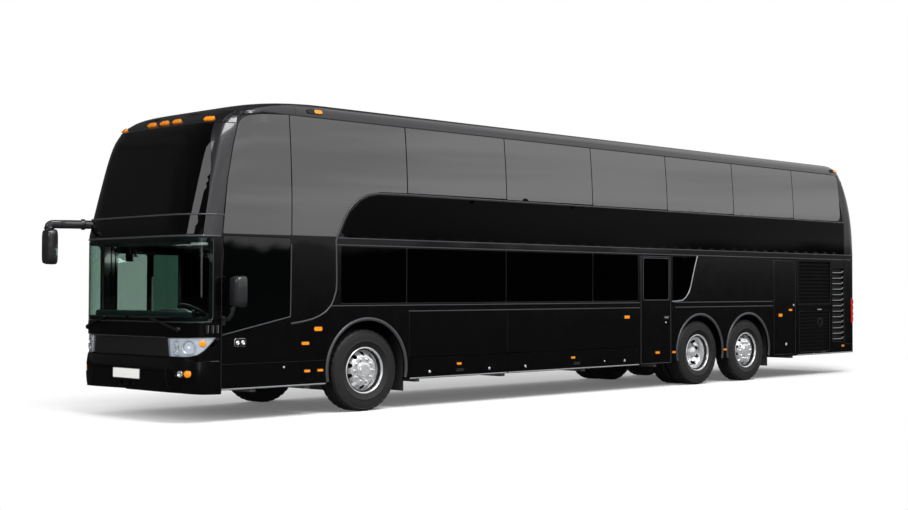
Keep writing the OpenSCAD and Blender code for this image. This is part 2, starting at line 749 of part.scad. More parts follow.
// Wipers lie against the lower windscreen, their pivots at its outer ends
wiper_x = -1050;
wiper_turn = 7;
module wiper_bar(x0, x1, z0, h) translate([x0, ay(-front_overhang - 100), z0]) rotate([0, -wiper_turn, 0])
    cube([x1 - x0, 700, h]);
module wipers() {
    color("#0a0a0b") {
        intersection() {
            skin(-20, 2 - seat_gap);
            both() span([wiper_x + 130, -40], [-far, 0], [lower_screen_z[0] + 28, lower_screen_z[0] + 50]);
        }
        intersection() {
            skin(-34, -18);
            both() {
                wiper_bar(wiper_x - 20, wiper_x + 560, lower_screen_z[0] - 45, 26);
                span([wiper_x + 520, wiper_x + 560], [-far, 0], [lower_screen_z[0] - 10, lower_screen_z[0] + 45]);
            }
        }
        intersection() {
            skin(-38, -seat_gap);
            both() translate([wiper_x, ay(-front_overhang - 120), lower_screen_z[0] - 34]) rotate([-90, 0, 0])
                cylinder(r = 22, h = 700);
        }
    }
}
wheel_tilt = 30;
column = [620, -2120, 1290];
shaft_r = 22;
module at_column() translate([column[0], ay(column[1]), column[2]]) rotate([-wheel_tilt, 0, 0]) children();
module dashboard() {
    color("#202022") difference() {
        union() {
            intersection() {
                body_solid(inner);
                union() {
                    span([100, 1150], [-2450, -2150], [platform_z, 1130]);
                    span([-1000, 100], [-2450, -2250], [floor_z[1], 1100]);
                    span([-1000, 1150], [-far, -2440], [1050, lower_screen_z[0] + 120]);
                }
            }
            at_column() translate([0, 0, -420]) cylinder(r = 45, h = 330);
        }
        at_column() translate([0, 0, -300]) cylinder(r = shaft_r + 0.5, h = 300);
    }
}
module steering_wheel() {
    color("#151516") at_column() {
        rotate_extrude() translate([215, 0]) circle(r = 16, $fn = 24);
        cylinder(r = 60, h = 30, center = true);
        for (a = [90, 210, 330]) rotate([0, 0, a]) translate([50, -15, -8]) cube([156, 30, 16]);
        translate([0, 0, -290]) cylinder(r = shaft_r, h = 290);
    }
}
module seat(x, d, z) {
    side_prism([[d, z], [d + 380, z], [d + 380, z + 400], [d + 540, z + 1050], [d + 440, z + 1080], [d + 330, z + 480],
        [d - 30, z + 460], [d - 30, z + 380], [d + 40, z + 360]], [x - 215, x + 215]);
}
seat_x = [-940, -490, 490, 940];
upper_rows = 15;
first_row_d = -1750;
row_pitch = 860;
module seats() {
    color("#2d2f36") {
        seat(620, -1560, platform_z + seat_gap);
        for (i = [0 : upper_rows - 1]) for (x = seat_x) if (x > 0 || i < 3 || i > 5) seat(x, first_row_d + row_pitch * i, belt_z + seat_gap);
        for (i = [0 : 4]) for (x = seat_x) if (x > 0 || i > 1) seat(x, 950 + 900 * i, floor_z[1] + seat_gap);
    }
}

front_frame();
rear_frame();
towing_eyes();
wheel_housings();
lower_floor();
luggage_box();
stairs();
upper_floor();
left_side_wall();
right_side_wall();
roof_shell();
front_shell();
rear_shell();
front_bumper();
engine_block();
upper_windscreen();
lower_windscreen();
upper_windows();
lower_windows();
emergency_door();
entry_door();
entry_door_arm();
left_luggage_door();
right_luggage_door();
engine_door();
radiator_door();
left_front_flap();
left_rear_flap();
right_front_flap();
right_rear_flap();
left_mirror();
right_mirror();
wipers();
headlamps();
tail_lamps();
dashboard();
steering_wheel();
seats();
front_axle();
left_knuckle();
right_knuckle();
drive_axle();
tag_axle();
front_left_tyre();
front_left_rim();
front_right_tyre();
front_right_rim();
drive_left_tyres();
drive_left_rim();
drive_right_tyres();
drive_right_rim();
tag_left_tyre();
tag_left_rim();
tag_right_tyre();
tag_right_rim();
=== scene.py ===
# A black three-axle double-deck touring coach, dressed part by part over its CAD nodes.
# +X is the vehicle's left, -Y its front, +Z up, in metres, with the tyres on Z = 0.
import math

import bpy
import numpy as np
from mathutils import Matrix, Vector
from mathutils.geometry import delaunay_2d_cdt


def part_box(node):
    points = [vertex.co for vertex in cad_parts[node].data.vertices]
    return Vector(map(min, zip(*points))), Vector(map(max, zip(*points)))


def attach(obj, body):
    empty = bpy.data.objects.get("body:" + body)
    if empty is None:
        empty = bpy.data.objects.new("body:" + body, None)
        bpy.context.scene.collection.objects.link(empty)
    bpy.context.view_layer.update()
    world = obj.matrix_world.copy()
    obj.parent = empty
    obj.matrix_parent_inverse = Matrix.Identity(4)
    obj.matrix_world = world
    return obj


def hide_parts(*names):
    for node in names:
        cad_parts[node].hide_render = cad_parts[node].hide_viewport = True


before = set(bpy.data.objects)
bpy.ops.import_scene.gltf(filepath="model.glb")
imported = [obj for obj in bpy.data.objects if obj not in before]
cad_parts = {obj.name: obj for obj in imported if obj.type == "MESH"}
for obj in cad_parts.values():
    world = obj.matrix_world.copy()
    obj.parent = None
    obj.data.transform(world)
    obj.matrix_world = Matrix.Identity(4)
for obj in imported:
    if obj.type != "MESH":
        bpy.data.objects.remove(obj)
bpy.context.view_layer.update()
scene = bpy.context.scene

# ---------------------------------------------------------------- studio
# A pale sweep of floor and a pale surround light the coach softly from all sides. The camera stands at
# eye height off the left front corner, with a 56 mm lens whose frame is shifted towards the front.
AXLE_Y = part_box("front_left_tyre")[0].y / 2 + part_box("front_left_tyre")[1].y / 2


def srgb(code):
    """A hex colour as linear RGBA: each channel by the sRGB curve."""
    channels = [int(code[i:i + 2], 16) / 255 for i in (1, 3, 5)]
    return [c / 12.92 if c <= 0.04045 else ((c + 0.055) / 1.055) ** 2.4 for c in channels] + [1.0]


def add(tree, kind, links=(), **settings):
    """Adds a shader node: settings name attributes or inputs (spaces as _), links are (socket, output)."""
    node = tree.nodes.new("ShaderNode" + kind)
    for key, value in settings.items():
        if hasattr(node, key):
            setattr(node, key, value)
        else:
            node.inputs[key.replace("_", " ")].default_value = value
    for name, output in links:
        tree.links.new(output, node.inputs[name])
    return node


def worked(tree, operation, *values):
    """The result of a math node, whose inputs are outputs of other nodes or plain numbers."""
    node = add(tree, "Math", operation=operation)
    for socket, value in zip(node.inputs, values):
        if isinstance(value, float):
            socket.default_value = value
        else:
            tree.links.new(value, socket)
    return node.outputs[0]


def facing_to(tree, vector, way):
    """How far a vector points a fixed way: their dot product."""
    node = add(tree, "VectorMath", [(0, vector)], operation="DOT_PRODUCT")
    node.inputs[1].default_value = way
    return node.outputs["Value"]


def smooth(tree, value, low, high, start=0.0, end=1.0):
    """A smooth step of an output between low and high, from start to end."""
    step = add(tree, "MapRange", [("Value", value)], interpolation_type="SMOOTHSTEP", From_Min=low,
        From_Max=high, To_Min=start, To_Max=end)
    return step.outputs["Result"]


def blended(tree, share, first, second):
    """Two shader nodes mixed by a share."""
    return add(tree, "MixShader", [(0, share), (1, first.outputs[0]), (2, second.outputs[0])])


def blank_material(name):
    """An empty material with its node tree and its output node."""
    material = bpy.data.materials.new(name)
    material.use_nodes = True
    material.node_tree.nodes.clear()
    return material, material.node_tree, material.node_tree.nodes.new("ShaderNodeOutputMaterial")


def mesh_object(name, points, faces, material=None, smooth=True, sharp=35):
    """A mesh from an (n, 3) array and lists of corners, shaded smooth up to the sharp angle in degrees."""
    mesh = bpy.data.meshes.new(name)
    mesh.from_pydata(np.asarray(points, float).reshape(-1, 3).tolist(), [],
        [list(map(int, f)) for f in faces])
    mesh.polygons.foreach_set("use_smooth", [smooth] * len(mesh.polygons))
    if smooth:
        mesh.set_sharp_from_angle(angle=math.radians(sharp))
    obj = bpy.data.objects.new(name, mesh)
    scene.collection.objects.link(obj)
    if material:
        mesh.materials.append(material)
    return obj


def place(obj, body, slot, *nodes):
    """The piece rides on a body and stands for the CAD nodes named; the slot is not used."""
    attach(obj, body)
    if nodes:
        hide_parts(*nodes)
    return obj


camera_data = bpy.data.cameras.new("camera")
camera_data.lens = 55.8
camera_data.sensor_width = 36.0
camera_data.shift_x = -0.161
camera_data.clip_end = 500.0
camera = bpy.data.objects.new("camera", camera_data)
camera.location = (15.771, AXLE_Y - 11.569, 1.572)
camera.rotation_euler = (math.radians(91.43), 0.0, math.radians(42.0))
scene.collection.objects.link(camera)
scene.camera = camera
scene.view_settings.view_transform = "Standard"

# What the paint and the glass mirror is darker than what lights them: a dark floor, a ragged hedge up to two
# degrees, a tall dark screen off the right front corner, a bright post off the left one, and a clouded sky.
world = bpy.data.worlds.new("studio")
scene.world = world
world.use_nodes = True
w = world.node_tree
w.nodes.clear()
path = add(w, "LightPath").outputs
look = add(w, "TexCoord").outputs["Generated"]
streaks = add(w, "Mapping", [("Vector", look)], Scale=(2.0, 2.0, 9.0))
cloud = add(w, "TexNoise", [("Vector", streaks.outputs["Vector"])], Scale=1.6, Detail=3.0, Roughness=0.5)
sky = smooth(w, cloud.outputs["Fac"], 0.35, 0.65, 0.82, 1.12)
leaves = add(w, "TexNoise", [("Vector", look)], Scale=26.0, Detail=5.0)
height = add(w, "SeparateXYZ", [("Vector", look)]).outputs["Z"]
height = worked(w, "ADD", height, worked(w, "MULTIPLY", leaves.outputs["Fac"], 0.035))
hedge = smooth(w, height, 0.046, 0.051, 0.01, 1.0)
screen = smooth(w, facing_to(w, look, (-0.67, -0.74, 0.0)), -0.40, -0.15, 1.0, 0.07)
aside = worked(w, "ABSOLUTE", facing_to(w, look, (0.309, 0.951, 0.0)))
ahead = facing_to(w, look, (0.951, -0.309, 0.0))
post = worked(w, "MULTIPLY", smooth(w, aside, 0.03, 0.07, 1.5, 0.0), smooth(w, ahead, 0.0, 0.1))
lit = worked(w, "MULTIPLY", worked(w, "MULTIPLY", sky, hedge), screen)
mirrored = add(w, "Background", [("Color", worked(w, "MAXIMUM", lit, post))], Strength=1.0)
plain = add(w, "Background", Color=srgb("#ffffff"), Strength=0.7)
backdrop = add(w, "Background", Color=(1, 1, 1, 1), Strength=1.0)
straight = worked(w, "MAXIMUM", path["Is Camera Ray"], path["Is Transmission Ray"])
around = blended(w, straight, blended(w, path["Is Glossy Ray"], plain, mirrored), backdrop)
add(w, "OutputWorld", [("Surface", around.outputs[0])])

# The floor takes the shadow near the coach and fades to the backdrop's white around it.
floor_paint, t, out = blank_material("studio_floor_paint")
path = add(t, "LightPath").outputs
where = add(t, "TexCoord")
centred = add(t, "Mapping", [("Vector", where.outputs["Object"])], Location=(0.0, -0.15, 0.0),
    Scale=(0.22, 0.115, 1.0))
radius = add(t, "VectorMath", [(0, centred.outputs[0])], operation="LENGTH")
fade = smooth(t, radius.outputs["Value"], 0.75, 1.5)
pale = add(t, "BsdfDiffuse", Color=srgb("#fafafa"))
glow, white, dim = (add(t, "Emission", Color=(1, 1, 1, 1), Strength=level) for level in (0.12, 1.0, 0.02))
near = add(t, "AddShader", [(0, pale.outputs[0]), (1, glow.outputs[0])])
dark = blended(t, path["Is Glossy Ray"], pale, dim)
both = blended(t, path["Is Camera Ray"], dark, blended(t, fade, near, white))
t.links.new(both.outputs[0], out.inputs["Surface"])
corners = [(-300, -300, 0), (300, -300, 0), (300, 300, 0), (-300, 300, 0)]
floor = mesh_object("studio_floor", corners, [(0, 1, 2, 3)], floor_paint, smooth=False)


def lamp(name, place_at, aim, size, watts):
    """A square soft lamp at a point, aimed at another."""
    light = bpy.data.lights.new(name, "AREA")
    light.size = size
    light.energy = watts
    light.specular_factor = 0.25
    obj = bpy.data.objects.new(name, light)
    obj.location = place_at
    obj.rotation_euler = (Vector(aim) - Vector(place_at)).to_track_quat("-Z", "Y").to_euler()
    scene.collection.objects.link(obj)


lamp("key", (16, -6, 22), (0, 0, 1), 14, 5200)
lamp("fill", (10, -26, 12), (0, -4, 1), 12, 1800)
lamp("cabin", (0.1, AXLE_Y - 1.75, 2.11), (0.1, AXLE_Y - 2.2, 1.0), 0.8, 45)

# ---------------------------------------------------------------- body shape
# Every panel is cut from the same body surface: upright sides that lean in above 2.5 m, a nose rounded
# by an eighth-power curve in plan, a brow that rolls back into the roof, and tight rear corners.
# d is the distance behind the front axle, and a panel's depth is measured inwards from the surface.
HALF, TALL, NOSE, TAIL = 1.295, 3.930, -2.650, 11.850
PLAN, EAVE, EDGE, REAR_EDGE = 0.420, 3.765, 0.165, 0.150
# A point inside the body, and how much more the sideways distance counts when a normal is turned outwards
MIDDLE, SIDEWAYS = np.array([0.0, AXLE_Y + 4.6, 1.9]), np.array([6, 1, 1])


def width_at(z):
    """Half width: a square law takes 70 mm off between 2.5 m and the eave, then the roof edge is an arc."""
    z = np.asarray(z, float)
    turn = np.clip((z - EAVE) / EDGE, 0, 0.9945)
    return HALF - 0.070 * (np.clip(z - 2.5, 0, EAVE - 2.5) / (EAVE - 2.5)) ** 2 - EDGE * (1
        - np.sqrt(1 - turn ** 2))


def front_back(z):
    """How far the nose lies back at a height: one in four above 2.25 m, then 1.45 (1 - sqrt(1 - t^10))."""
    t = np.clip((np.asarray(z, float) - 2.25) / (TALL - 2.249), 0, 1)
    return 0.25 * np.maximum(0, z - 2.25) + 1.45 * (1 - np.sqrt(1 - t ** 10))


def rear_back(z):
    """How far the tail lies forward at a height: 0.7 (1 - sqrt(1 - t^2)) above the belt."""
    t = np.clip((np.asarray(z, float) - 2.2) / (TALL - 2.199), 0, 1)
    return 0.7 * (1 - np.sqrt(1 - t ** 2))


turn = np.linspace(0, math.pi / 2, 721)
nose_x, nose_d = HALF * np.sin(turn) ** 0.25, PLAN * (1 - np.cos(turn))
nose_s = np.r_[0, np.cumsum(np.hypot(np.diff(nose_x), np.diff(nose_d)))]
NOSE_S = float(nose_s[-1])
LEFT, RIGHT = 1, -1


def on_front(s, z):
    """The nose as (x, y, z), with s measured round it from the middle to the vehicle's left."""
    s, z = np.broadcast_arrays(np.asarray(s, float), np.asarray(z, float))
    k = width_at(z) / HALF
    x = k * np.sign(s) * np.interp(abs(s), nose_s, nose_x)
    d = NOSE + front_back(z) + k * np.interp(abs(s), nose_s, nose_d) + np.maximum(0, abs(s) - NOSE_S)
    return np.stack([x, AXLE_Y + d, z], -1)


def on_side(d, z, side=LEFT):
    """A side as (x, y, z): the width times (1 - (1 - q)^2)^(1/8) round the nose, less an arc at the tail."""
    d, z = np.broadcast_arrays(np.asarray(d, float), np.asarray(z, float))
    w = width_at(z)
    q = np.clip((d - NOSE - front_back(z)) / (PLAN * w / HALF), 1e-5, 1)
    r = np.clip((d - (TAIL - rear_back(z) - REAR_EDGE)) / REAR_EDGE, 0, 0.9999)
    x = w * (1 - (1 - q) ** 2) ** 0.125 - REAR_EDGE * (1 - np.sqrt(1 - r ** 2))
    return np.stack([side * x, AXLE_Y + d, z], -1)


def on_right(d, z):
    """The right side as (x, y, z)."""
    return on_side(d, z, RIGHT)


SIDES = ((LEFT, on_side, "left"), (RIGHT, on_right, "right"))


def on_rear(s, z):
    """The tail as (x, y, z), with s measured from the middle to the vehicle's left, round the corner arcs."""
    s, z = np.broadcast_arrays(np.asarray(s, float), np.asarray(z, float))
    w, flat = width_at(z), HALF - REAR_EDGE
    a = np.clip((abs(s) - flat) / REAR_EDGE, 0, math.pi / 2)
    x = np.minimum(abs(s), flat) * (w - REAR_EDGE) / flat + REAR_EDGE * np.sin(a)
    d = TAIL - rear_back(z) - REAR_EDGE * (1 - np.cos(a)) - np.maximum(0, abs(s) - flat - REAR_EDGE
        * math.pi / 2)
    return np.stack([np.sign(s) * x, AXLE_Y + d, z], -1)


def front_s(x):
    """The distance s round the nose of the point whose half width is x at the waist."""
    return float(np.interp(x, nose_x, nose_s))


def inward(chart, a, b, depth):
    """Points of a chart moved in along its normal by depth, from central differences 2 mm apart."""
    a, b = np.asarray(a, float), np.asarray(b, float)
    across = chart(a + 0.002, b) - chart(a - 0.002, b)
    up = chart(a, b + 0.002) - chart(a, b - 0.002)
    normal = np.cross(across, up)
    normal /= np.linalg.norm(normal, axis=-1, keepdims=True)
    point = chart(a, b)
    flip = np.sign(np.sum(normal * (MIDDLE - point) * SIDEWAYS, -1, keepdims=True))
    return point + normal * flip * (np.asarray(depth, float)[..., None] if np.ndim(depth) else depth)


def rect(a0, b0, a1, b1, r=0.0, n=5):
    """A rectangle's outline with corner radius r."""
    if r <= 0:
        return [(a0, b0), (a1, b0), (a1, b1), (a0, b1)]
    points = []
    for ca, cb, start in ((a1 - r, b0 + r, -90), (a1 - r, b1 - r, 0), (a0 + r, b1 - r, 90),
            (a0 + r, b0 + r, 180)):
        for i in range(n + 1):
            angle = math.radians(start + 90 * i / n)
            points.append((ca + r * math.cos(angle), cb + r * math.sin(angle)))
    return points


def rounded(corners, r, n=5):
    """A polygon with every corner turned by a quadratic curve that starts r away from it."""
    points, count = [], len(corners)
    for i, corner in enumerate(corners):
        c = np.array(corner[:2], float)
        radius = corner[2] if len(corner) > 2 else r
        p, q = np.array(corners[i - 1][:2], float), np.array(corners[(i + 1) % count][:2], float)
        p = c + (p - c) * min(0.45, radius / np.linalg.norm(p - c))
        q = c + (q - c) * min(0.45, radius / np.linalg.norm(q - c))
        points += [tuple((1 - t) ** 2 * p + 2 * t * (1 - t) * c + t ** 2 * q)
            for t in np.linspace(0, 1, n + 1)]
    return points


def arch(d, z, r, start=0.0, end=180.0, n=28):
    """An arc of a wheel arch, as (d, z)."""
    return [(d - r * math.cos(math.radians(a)), z + r * math.sin(math.radians(a)))
        for a in np.linspace(start, end, n)]


def resample(outline, step, closed=True):
    """Points no further apart than the step, round an outline or along an open line."""
    points = np.array(outline, float)[:, :2]
    pairs = list(zip(points, np.roll(points, -1, 0)))
    result = []
    for p, q in pairs if closed else pairs[:-1]:
        count = max(1, int(math.ceil(np.linalg.norm(q - p) / step)))
        result += [tuple(p + (q - p) * i / count) for i in range(count)]
    return result if closed else result + [tuple(points[-1])]


def inside(points, outline):
    """Which points lie inside a closed outline, by the even-odd rule."""
    x, y = points[:, 0:1], points[:, 1:2]
    o = np.array(outline, float)
    n = np.roll(o, -1, 0)
    crosses = (o[None, :, 1] > y) != (n[None, :, 1] > y)
    rise = np.where(abs(n[None, :, 1] - o[None, :, 1]) < 1e-12, 1e-12, n[None, :, 1] - o[None, :, 1])
    at = o[None, :, 0] + (y - o[None, :, 1]) * (n[None, :, 0] - o[None, :, 0]) / rise
    return (crosses & (x < at)).sum(1) % 2 == 1


def cut(outline, holes=(), step=0.15):
    """Triangles that fill an outline less its holes: points (n, 2), triangles."""
    loops = [resample(outline, step)] + [resample(hole, step) for hole in holes]
    points, edges = [], []
    for loop in loops:
        first = len(points)
        points += loop
        edges += [(first + i, first + (i + 1) % len(loop)) for i in range(len(loop))]
    rim = np.array(points)
    low, high = rim.min(0), rim.max(0)
    grid = np.stack(np.meshgrid(np.arange(low[0] + step / 2, high[0], step),
        np.arange(low[1] + step / 2, high[1], step)), -1).reshape(-1, 2)
    keep = inside(grid, loops[0])
    for loop in loops[1:]:
        keep &= ~inside(grid, loop)
    grid = grid[keep]
    if len(grid):
        gap = np.array([((rim - g) ** 2).sum(1).min() for g in grid])
        points += [tuple(g) for g in grid[gap > (0.35 * step) ** 2]]
    result = delaunay_2d_cdt([Vector(p) for p in points], edges, [], 0, 1e-6)
    flat = np.array([(v.x, v.y) for v in result[0]])
    faces = [f for f in result[2] if len(f) == 3]
    middles = np.array([flat[list(f)].mean(0) for f in faces])
    keep = inside(middles, loops[0])
    for loop in loops[1:]:
        keep &= ~inside(middles, loop)
    return flat, [f for f, k in zip(faces, keep) if k]


def bevel(obj, width, segments=2, angle=40):
    """Rounds the edges that are sharper than the angle."""
    change = obj.modifiers.new("edge", "BEVEL")
    change.width = width
    change.segments = segments
    change.limit_method = "ANGLE"
    change.angle_limit = math.radians(angle)
    change.harden_normals = True
    return obj


def grid_faces(rows, columns, round_rows=False, round_columns=False, flip=False):
    """Quads over rows of points, each joined to the next, and the last to the first where they go round."""
    corner = [[i % rows * columns + j % columns for j in range(columns + 1)] for i in range(rows + 1)]
    faces = [(corner[i][j], corner[i][j + 1], corner[i + 1][j + 1], corner[i + 1][j])
        for i in range(rows if round_rows else rows - 1) for j in range(columns if round_columns
        else columns - 1)]
    return [(a, d, c, b) for a, b, c, d in faces] if flip else faces


def slab(name, outer, inner, faces, material, sharp=35):
    """A closed solid from two faces with the same triangles or quads, joined along their rims."""
    n = len(outer)
    edges = {(f[i - 1], f[i]) for f in faces for i in range(len(f))}
    solid = [tuple(f) for f in faces] + [tuple(n + i for i in f[::-1]) for f in faces]
    solid += [(b, a, n + a, n + b) for a, b in sorted(edges) if (b, a) not in edges]
    return mesh_object(name, np.vstack([outer, inner]), solid, material, sharp=sharp)


def shell(name, chart, outline, material, depth=(0.0, 0.03), holes=(), step=0.15, edge=0.003, bulge=None):
    """A closed panel between two depths of a chart: both faces of the cut outline, joined along the rims."""
    flat, faces = cut(outline, holes, step)
    outer = depth[0] if bulge is None else depth[0] - bulge(flat[:, 0], flat[:, 1])
    front = inward(chart, flat[:, 0], flat[:, 1], outer)
    back = inward(chart, flat[:, 0], flat[:, 1], depth[1])
    a, b, c = (front[[f[i] for f in faces]] for i in range(3))
    if np.sum(np.cross(b - a, c - a) * (a - MIDDLE) * SIDEWAYS) < 0:
        faces = [f[::-1] for f in faces]
    panel = slab(name, front, back, faces, material)
    return bevel(panel, edge) if edge else panel


def swept(name, path, profile, material, closed=False):
    """A profile (n, 2) of (across, out) carried along a path of (point, out) pairs, square to the path."""
    points = np.array([p for p, _ in path], float)
    outs = np.array([o for _, o in path], float)
    ahead = np.roll(points, -1, 0) - np.roll(points, 1, 0) if closed else np.gradient(points, axis=0)
    ahead /= np.linalg.norm(ahead, axis=1, keepdims=True)
    outs -= ahead * np.sum(outs * ahead, 1, keepdims=True)
    outs /= np.linalg.norm(outs, axis=1, keepdims=True)
    across = np.cross(ahead, outs)
    profile = np.array(profile, float)
    n, m = len(points), len(profile)
    rings = points[:, None] + across[:, None] * profile[None, :, :1] + outs[:, None] * profile[None, :, 1:]
    faces = grid_faces(n, m, closed, True)
    if not closed:
        faces += [tuple(range(m))[::-1], tuple(range((n - 1) * m, n * m))]
    return mesh_object(name, rings.reshape(-1, 3), faces, material, sharp=50)


def bar(half, low, high, top=None):
    """A four-sided profile, as wide at its top as at its foot unless a half width is given for the top."""
    top = half if top is None else top
    return [(-half, low), (half, low), (top, high), (-top, high)]


def strip(name, chart, line, width, height, material, closed=False, step=0.05):
    """A thin half-round trim that follows a line of chart coordinates, sunk a little into the surface."""
    sunk = 0.004
    dense = np.array(resample(line, step, closed))
    point = inward(chart, dense[:, 0], dense[:, 1], sunk)
    out = inward(chart, dense[:, 0], dense[:, 1], -0.02) - point
    a = np.linspace(0, math.pi, 7)
    profile = np.stack([np.cos(a) * width / 2, np.sin(a) * (height + sunk)], 1)
    profile = np.vstack([profile, [[-width / 2, -0.002], [width / 2, -0.002]]])
    return swept(name, list(zip(point, out)), profile, material, closed)


def lathe(name, profile, material, centre, side, segments=96, sharp=35):
    """A closed profile of (radius, along) turned round an axle; along grows towards the given side."""
    profile = np.array(profile, float)
    a = np.linspace(0, 2 * math.pi, segments, endpoint=False)[:, None]
    r, u = profile[:, 0][None], profile[:, 1][None]
    points = np.stack([side * u + 0 * a, r * np.cos(a), r * np.sin(a)], -1) + np.array(centre, float)
    faces = grid_faces(segments, len(profile), True, True)
    return mesh_object(name, points.reshape(-1, 3), faces, material, sharp=sharp)


def joined(name, pieces):
    """Several meshes made into one, modifiers applied; each face keeps its material and normals."""
    points, faces, slots, smooth, materials, normals = [], [], [], [], [], []
    depsgraph = bpy.context.evaluated_depsgraph_get()
    for piece in pieces:
        mesh = piece.evaluated_get(depsgraph).to_mesh()
        first = len(points)
        matrix = piece.matrix_world
        points += [tuple(matrix @ v.co) for v in mesh.vertices]
        index = []
        for material in piece.data.materials:
            if material not in materials:
                materials.append(material)
            index.append(materials.index(material))
        for polygon in mesh.polygons:
            faces.append([first + v for v in polygon.vertices])
            slots.append(index[polygon.material_index] if index else 0)
            smooth.append(polygon.use_smooth)
        turned_to = np.empty(3 * len(mesh.loops))
        mesh.corner_normals.foreach_get("vector", turned_to)
        normals.append(turned_to.reshape(-1, 3))
        piece.evaluated_get(depsgraph).to_mesh_clear()
    for piece in pieces:
        bpy.data.objects.remove(piece)
    mesh = bpy.data.meshes.new(name)
    mesh.from_pydata(points, [], faces)
    for material in materials:
        mesh.materials.append(material)
    mesh.polygons.foreach_set("material_index", slots)
    mesh.polygons.foreach_set("use_smooth", smooth)
    mesh.update()
    mesh.normals_split_custom_set(np.concatenate(normals).tolist())
    obj = bpy.data.objects.new(name, mesh)
    scene.collection.objects.link(obj)
    return obj


def block(name, low, high, material, edge=0.004, segments=2):
    """A box between two corners with rounded edges."""
    x, y, z = zip(low, high)
    points = [(x[i], y[j], z[k]) for i in (0, 1) for j in (0, 1) for k in (0, 1)]
    faces = [(0, 1, 3, 2), (4, 6, 7, 5), (0, 4, 5, 1), (2, 3, 7, 6), (0, 2, 6, 4), (1, 5, 7, 3)]
    box = mesh_object(name, points, faces, material)
    return bevel(box, edge, segments) if edge else box

# ---------------------------------------------------------------- finishes
# Each finish is procedural and works in object coordinates, which are metres in the vehicle's frame.


def surface(name, color, rough, metal=0.0, coat=0.0, ior=1.5, wear=0.15, grain=60.0, bump=0.0,
        bump_scale=400.0, tone=0.12, level=None, dust=0.0):
    """A Principled finish: two noises vary its colour and roughness, a third gives it a fine relief, and
    dust greys it towards the ground."""
    material, t, out = blank_material(name)
    where = add(t, "TexCoord")
    broad = add(t, "TexNoise", [("Vector", where.outputs["Object"])], Scale=grain / 20, Detail=4.0)
    fine = add(t, "TexNoise", [("Vector", where.outputs["Object"])], Scale=grain, Detail=6.0, Roughness=0.6)
    light = [min(1.0, c * (1 + tone)) for c in srgb(color)[:3]] + [1.0]
    dark = [c * (1 - tone) for c in srgb(color)[:3]] + [1.0]
    mix = add(t, "Mix", [(0, broad.outputs["Fac"])], data_type="RGBA")
    mix.inputs[6].default_value, mix.inputs[7].default_value = dark, light
    rough_range = add(t, "MapRange", [("Value", fine.outputs["Fac"])], From_Min=0.3, From_Max=0.7,
        To_Min=max(0.01, rough * (1 - wear)), To_Max=rough * (1 + wear))
    body = add(t, "BsdfPrincipled", [("Roughness", rough_range.outputs["Result"])], Metallic=metal,
        Coat_Weight=coat, Coat_Roughness=0.02, IOR=ior)
    color_out = mix.outputs[2]
    if dust:
        height = add(t, "SeparateXYZ", [("Vector", where.outputs["Object"])])
        fall = add(t, "MapRange", [("Value", height.outputs["Z"])], From_Min=0.1, From_Max=1.1, To_Min=dust,
            To_Max=0.0)
        film = add(t, "Math", [(0, fall.outputs["Result"]), (1, fine.outputs["Fac"])], operation="MULTIPLY")
        dusty = add(t, "Mix", [(0, film.outputs[0]), (6, color_out)], data_type="RGBA")
        dusty.inputs[7].default_value = srgb("#8a857c")
        color_out = dusty.outputs[2]
    t.links.new(color_out, body.inputs["Base Color"])
    if level is not None:
        body.inputs["Specular IOR Level"].default_value = level
    if bump:
        relief = add(t, "TexNoise", [("Vector", where.outputs["Object"])], Scale=bump_scale, Detail=3.0)
        raised = add(t, "Bump", [("Height", relief.outputs["Fac"])], Strength=0.5, Distance=bump)
        t.links.new(raised.outputs[0], body.inputs["Normal"])
    t.links.new(body.outputs[0], out.inputs["Surface"])
    return material


def tinted(name, color):
    """Thin tinted glass that light passes straight: a tint mixed with a mirror by 0.03 + 0.97 facing^5."""
    material, t, out = blank_material(name)
    where = add(t, "TexCoord")
    noise = add(t, "TexNoise", [("Vector", where.outputs["Object"])], Scale=1.2, Detail=2.0)
    shade = add(t, "Mix", [(0, noise.outputs["Fac"])], data_type="RGBA")
    shade.inputs[6].default_value = [c * 0.92 for c in srgb(color)[:3]] + [1.0]
    shade.inputs[7].default_value = srgb(color)
    clear = add(t, "BsdfTransparent", [("Color", shade.outputs[2])])
    mirror = add(t, "BsdfGlossy", Color=(1, 1, 1, 1), Roughness=0.01)
    facing = add(t, "LayerWeight", Blend=0.5)
    steep = add(t, "Math", [(0, facing.outputs["Facing"])], operation="POWER")
    steep.inputs[1].default_value = 5.0
    edge = add(t, "MapRange", [("Value", steep.outputs[0])], To_Min=0.03, To_Max=1.0)
    both = add(t, "MixShader", [(0, edge.outputs["Result"]), (1, clear.outputs[0]), (2, mirror.outputs[0])])
    t.links.new(both.outputs[0], out.inputs["Surface"])
    return material


black_paint = surface("black_body_paint", "#040404", 0.16, coat=0.25, level=0.25, bump=0.00012,
    bump_scale=90, grain=8, dust=0.008)
belt_gloss = surface("black_belt_gloss", "#010101", 0.06, level=0.04, grain=6)
cove_paint = surface("grey_cove_paint", "#1d1d21", 0.22, metal=0.25, coat=0.8, bump=0.0001, bump_scale=90,
    grain=8)
cap_paint = surface("black_cap_paint", "#0c0c0d", 0.3, coat=0.25, grain=8, bump=0.0001, bump_scale=90)
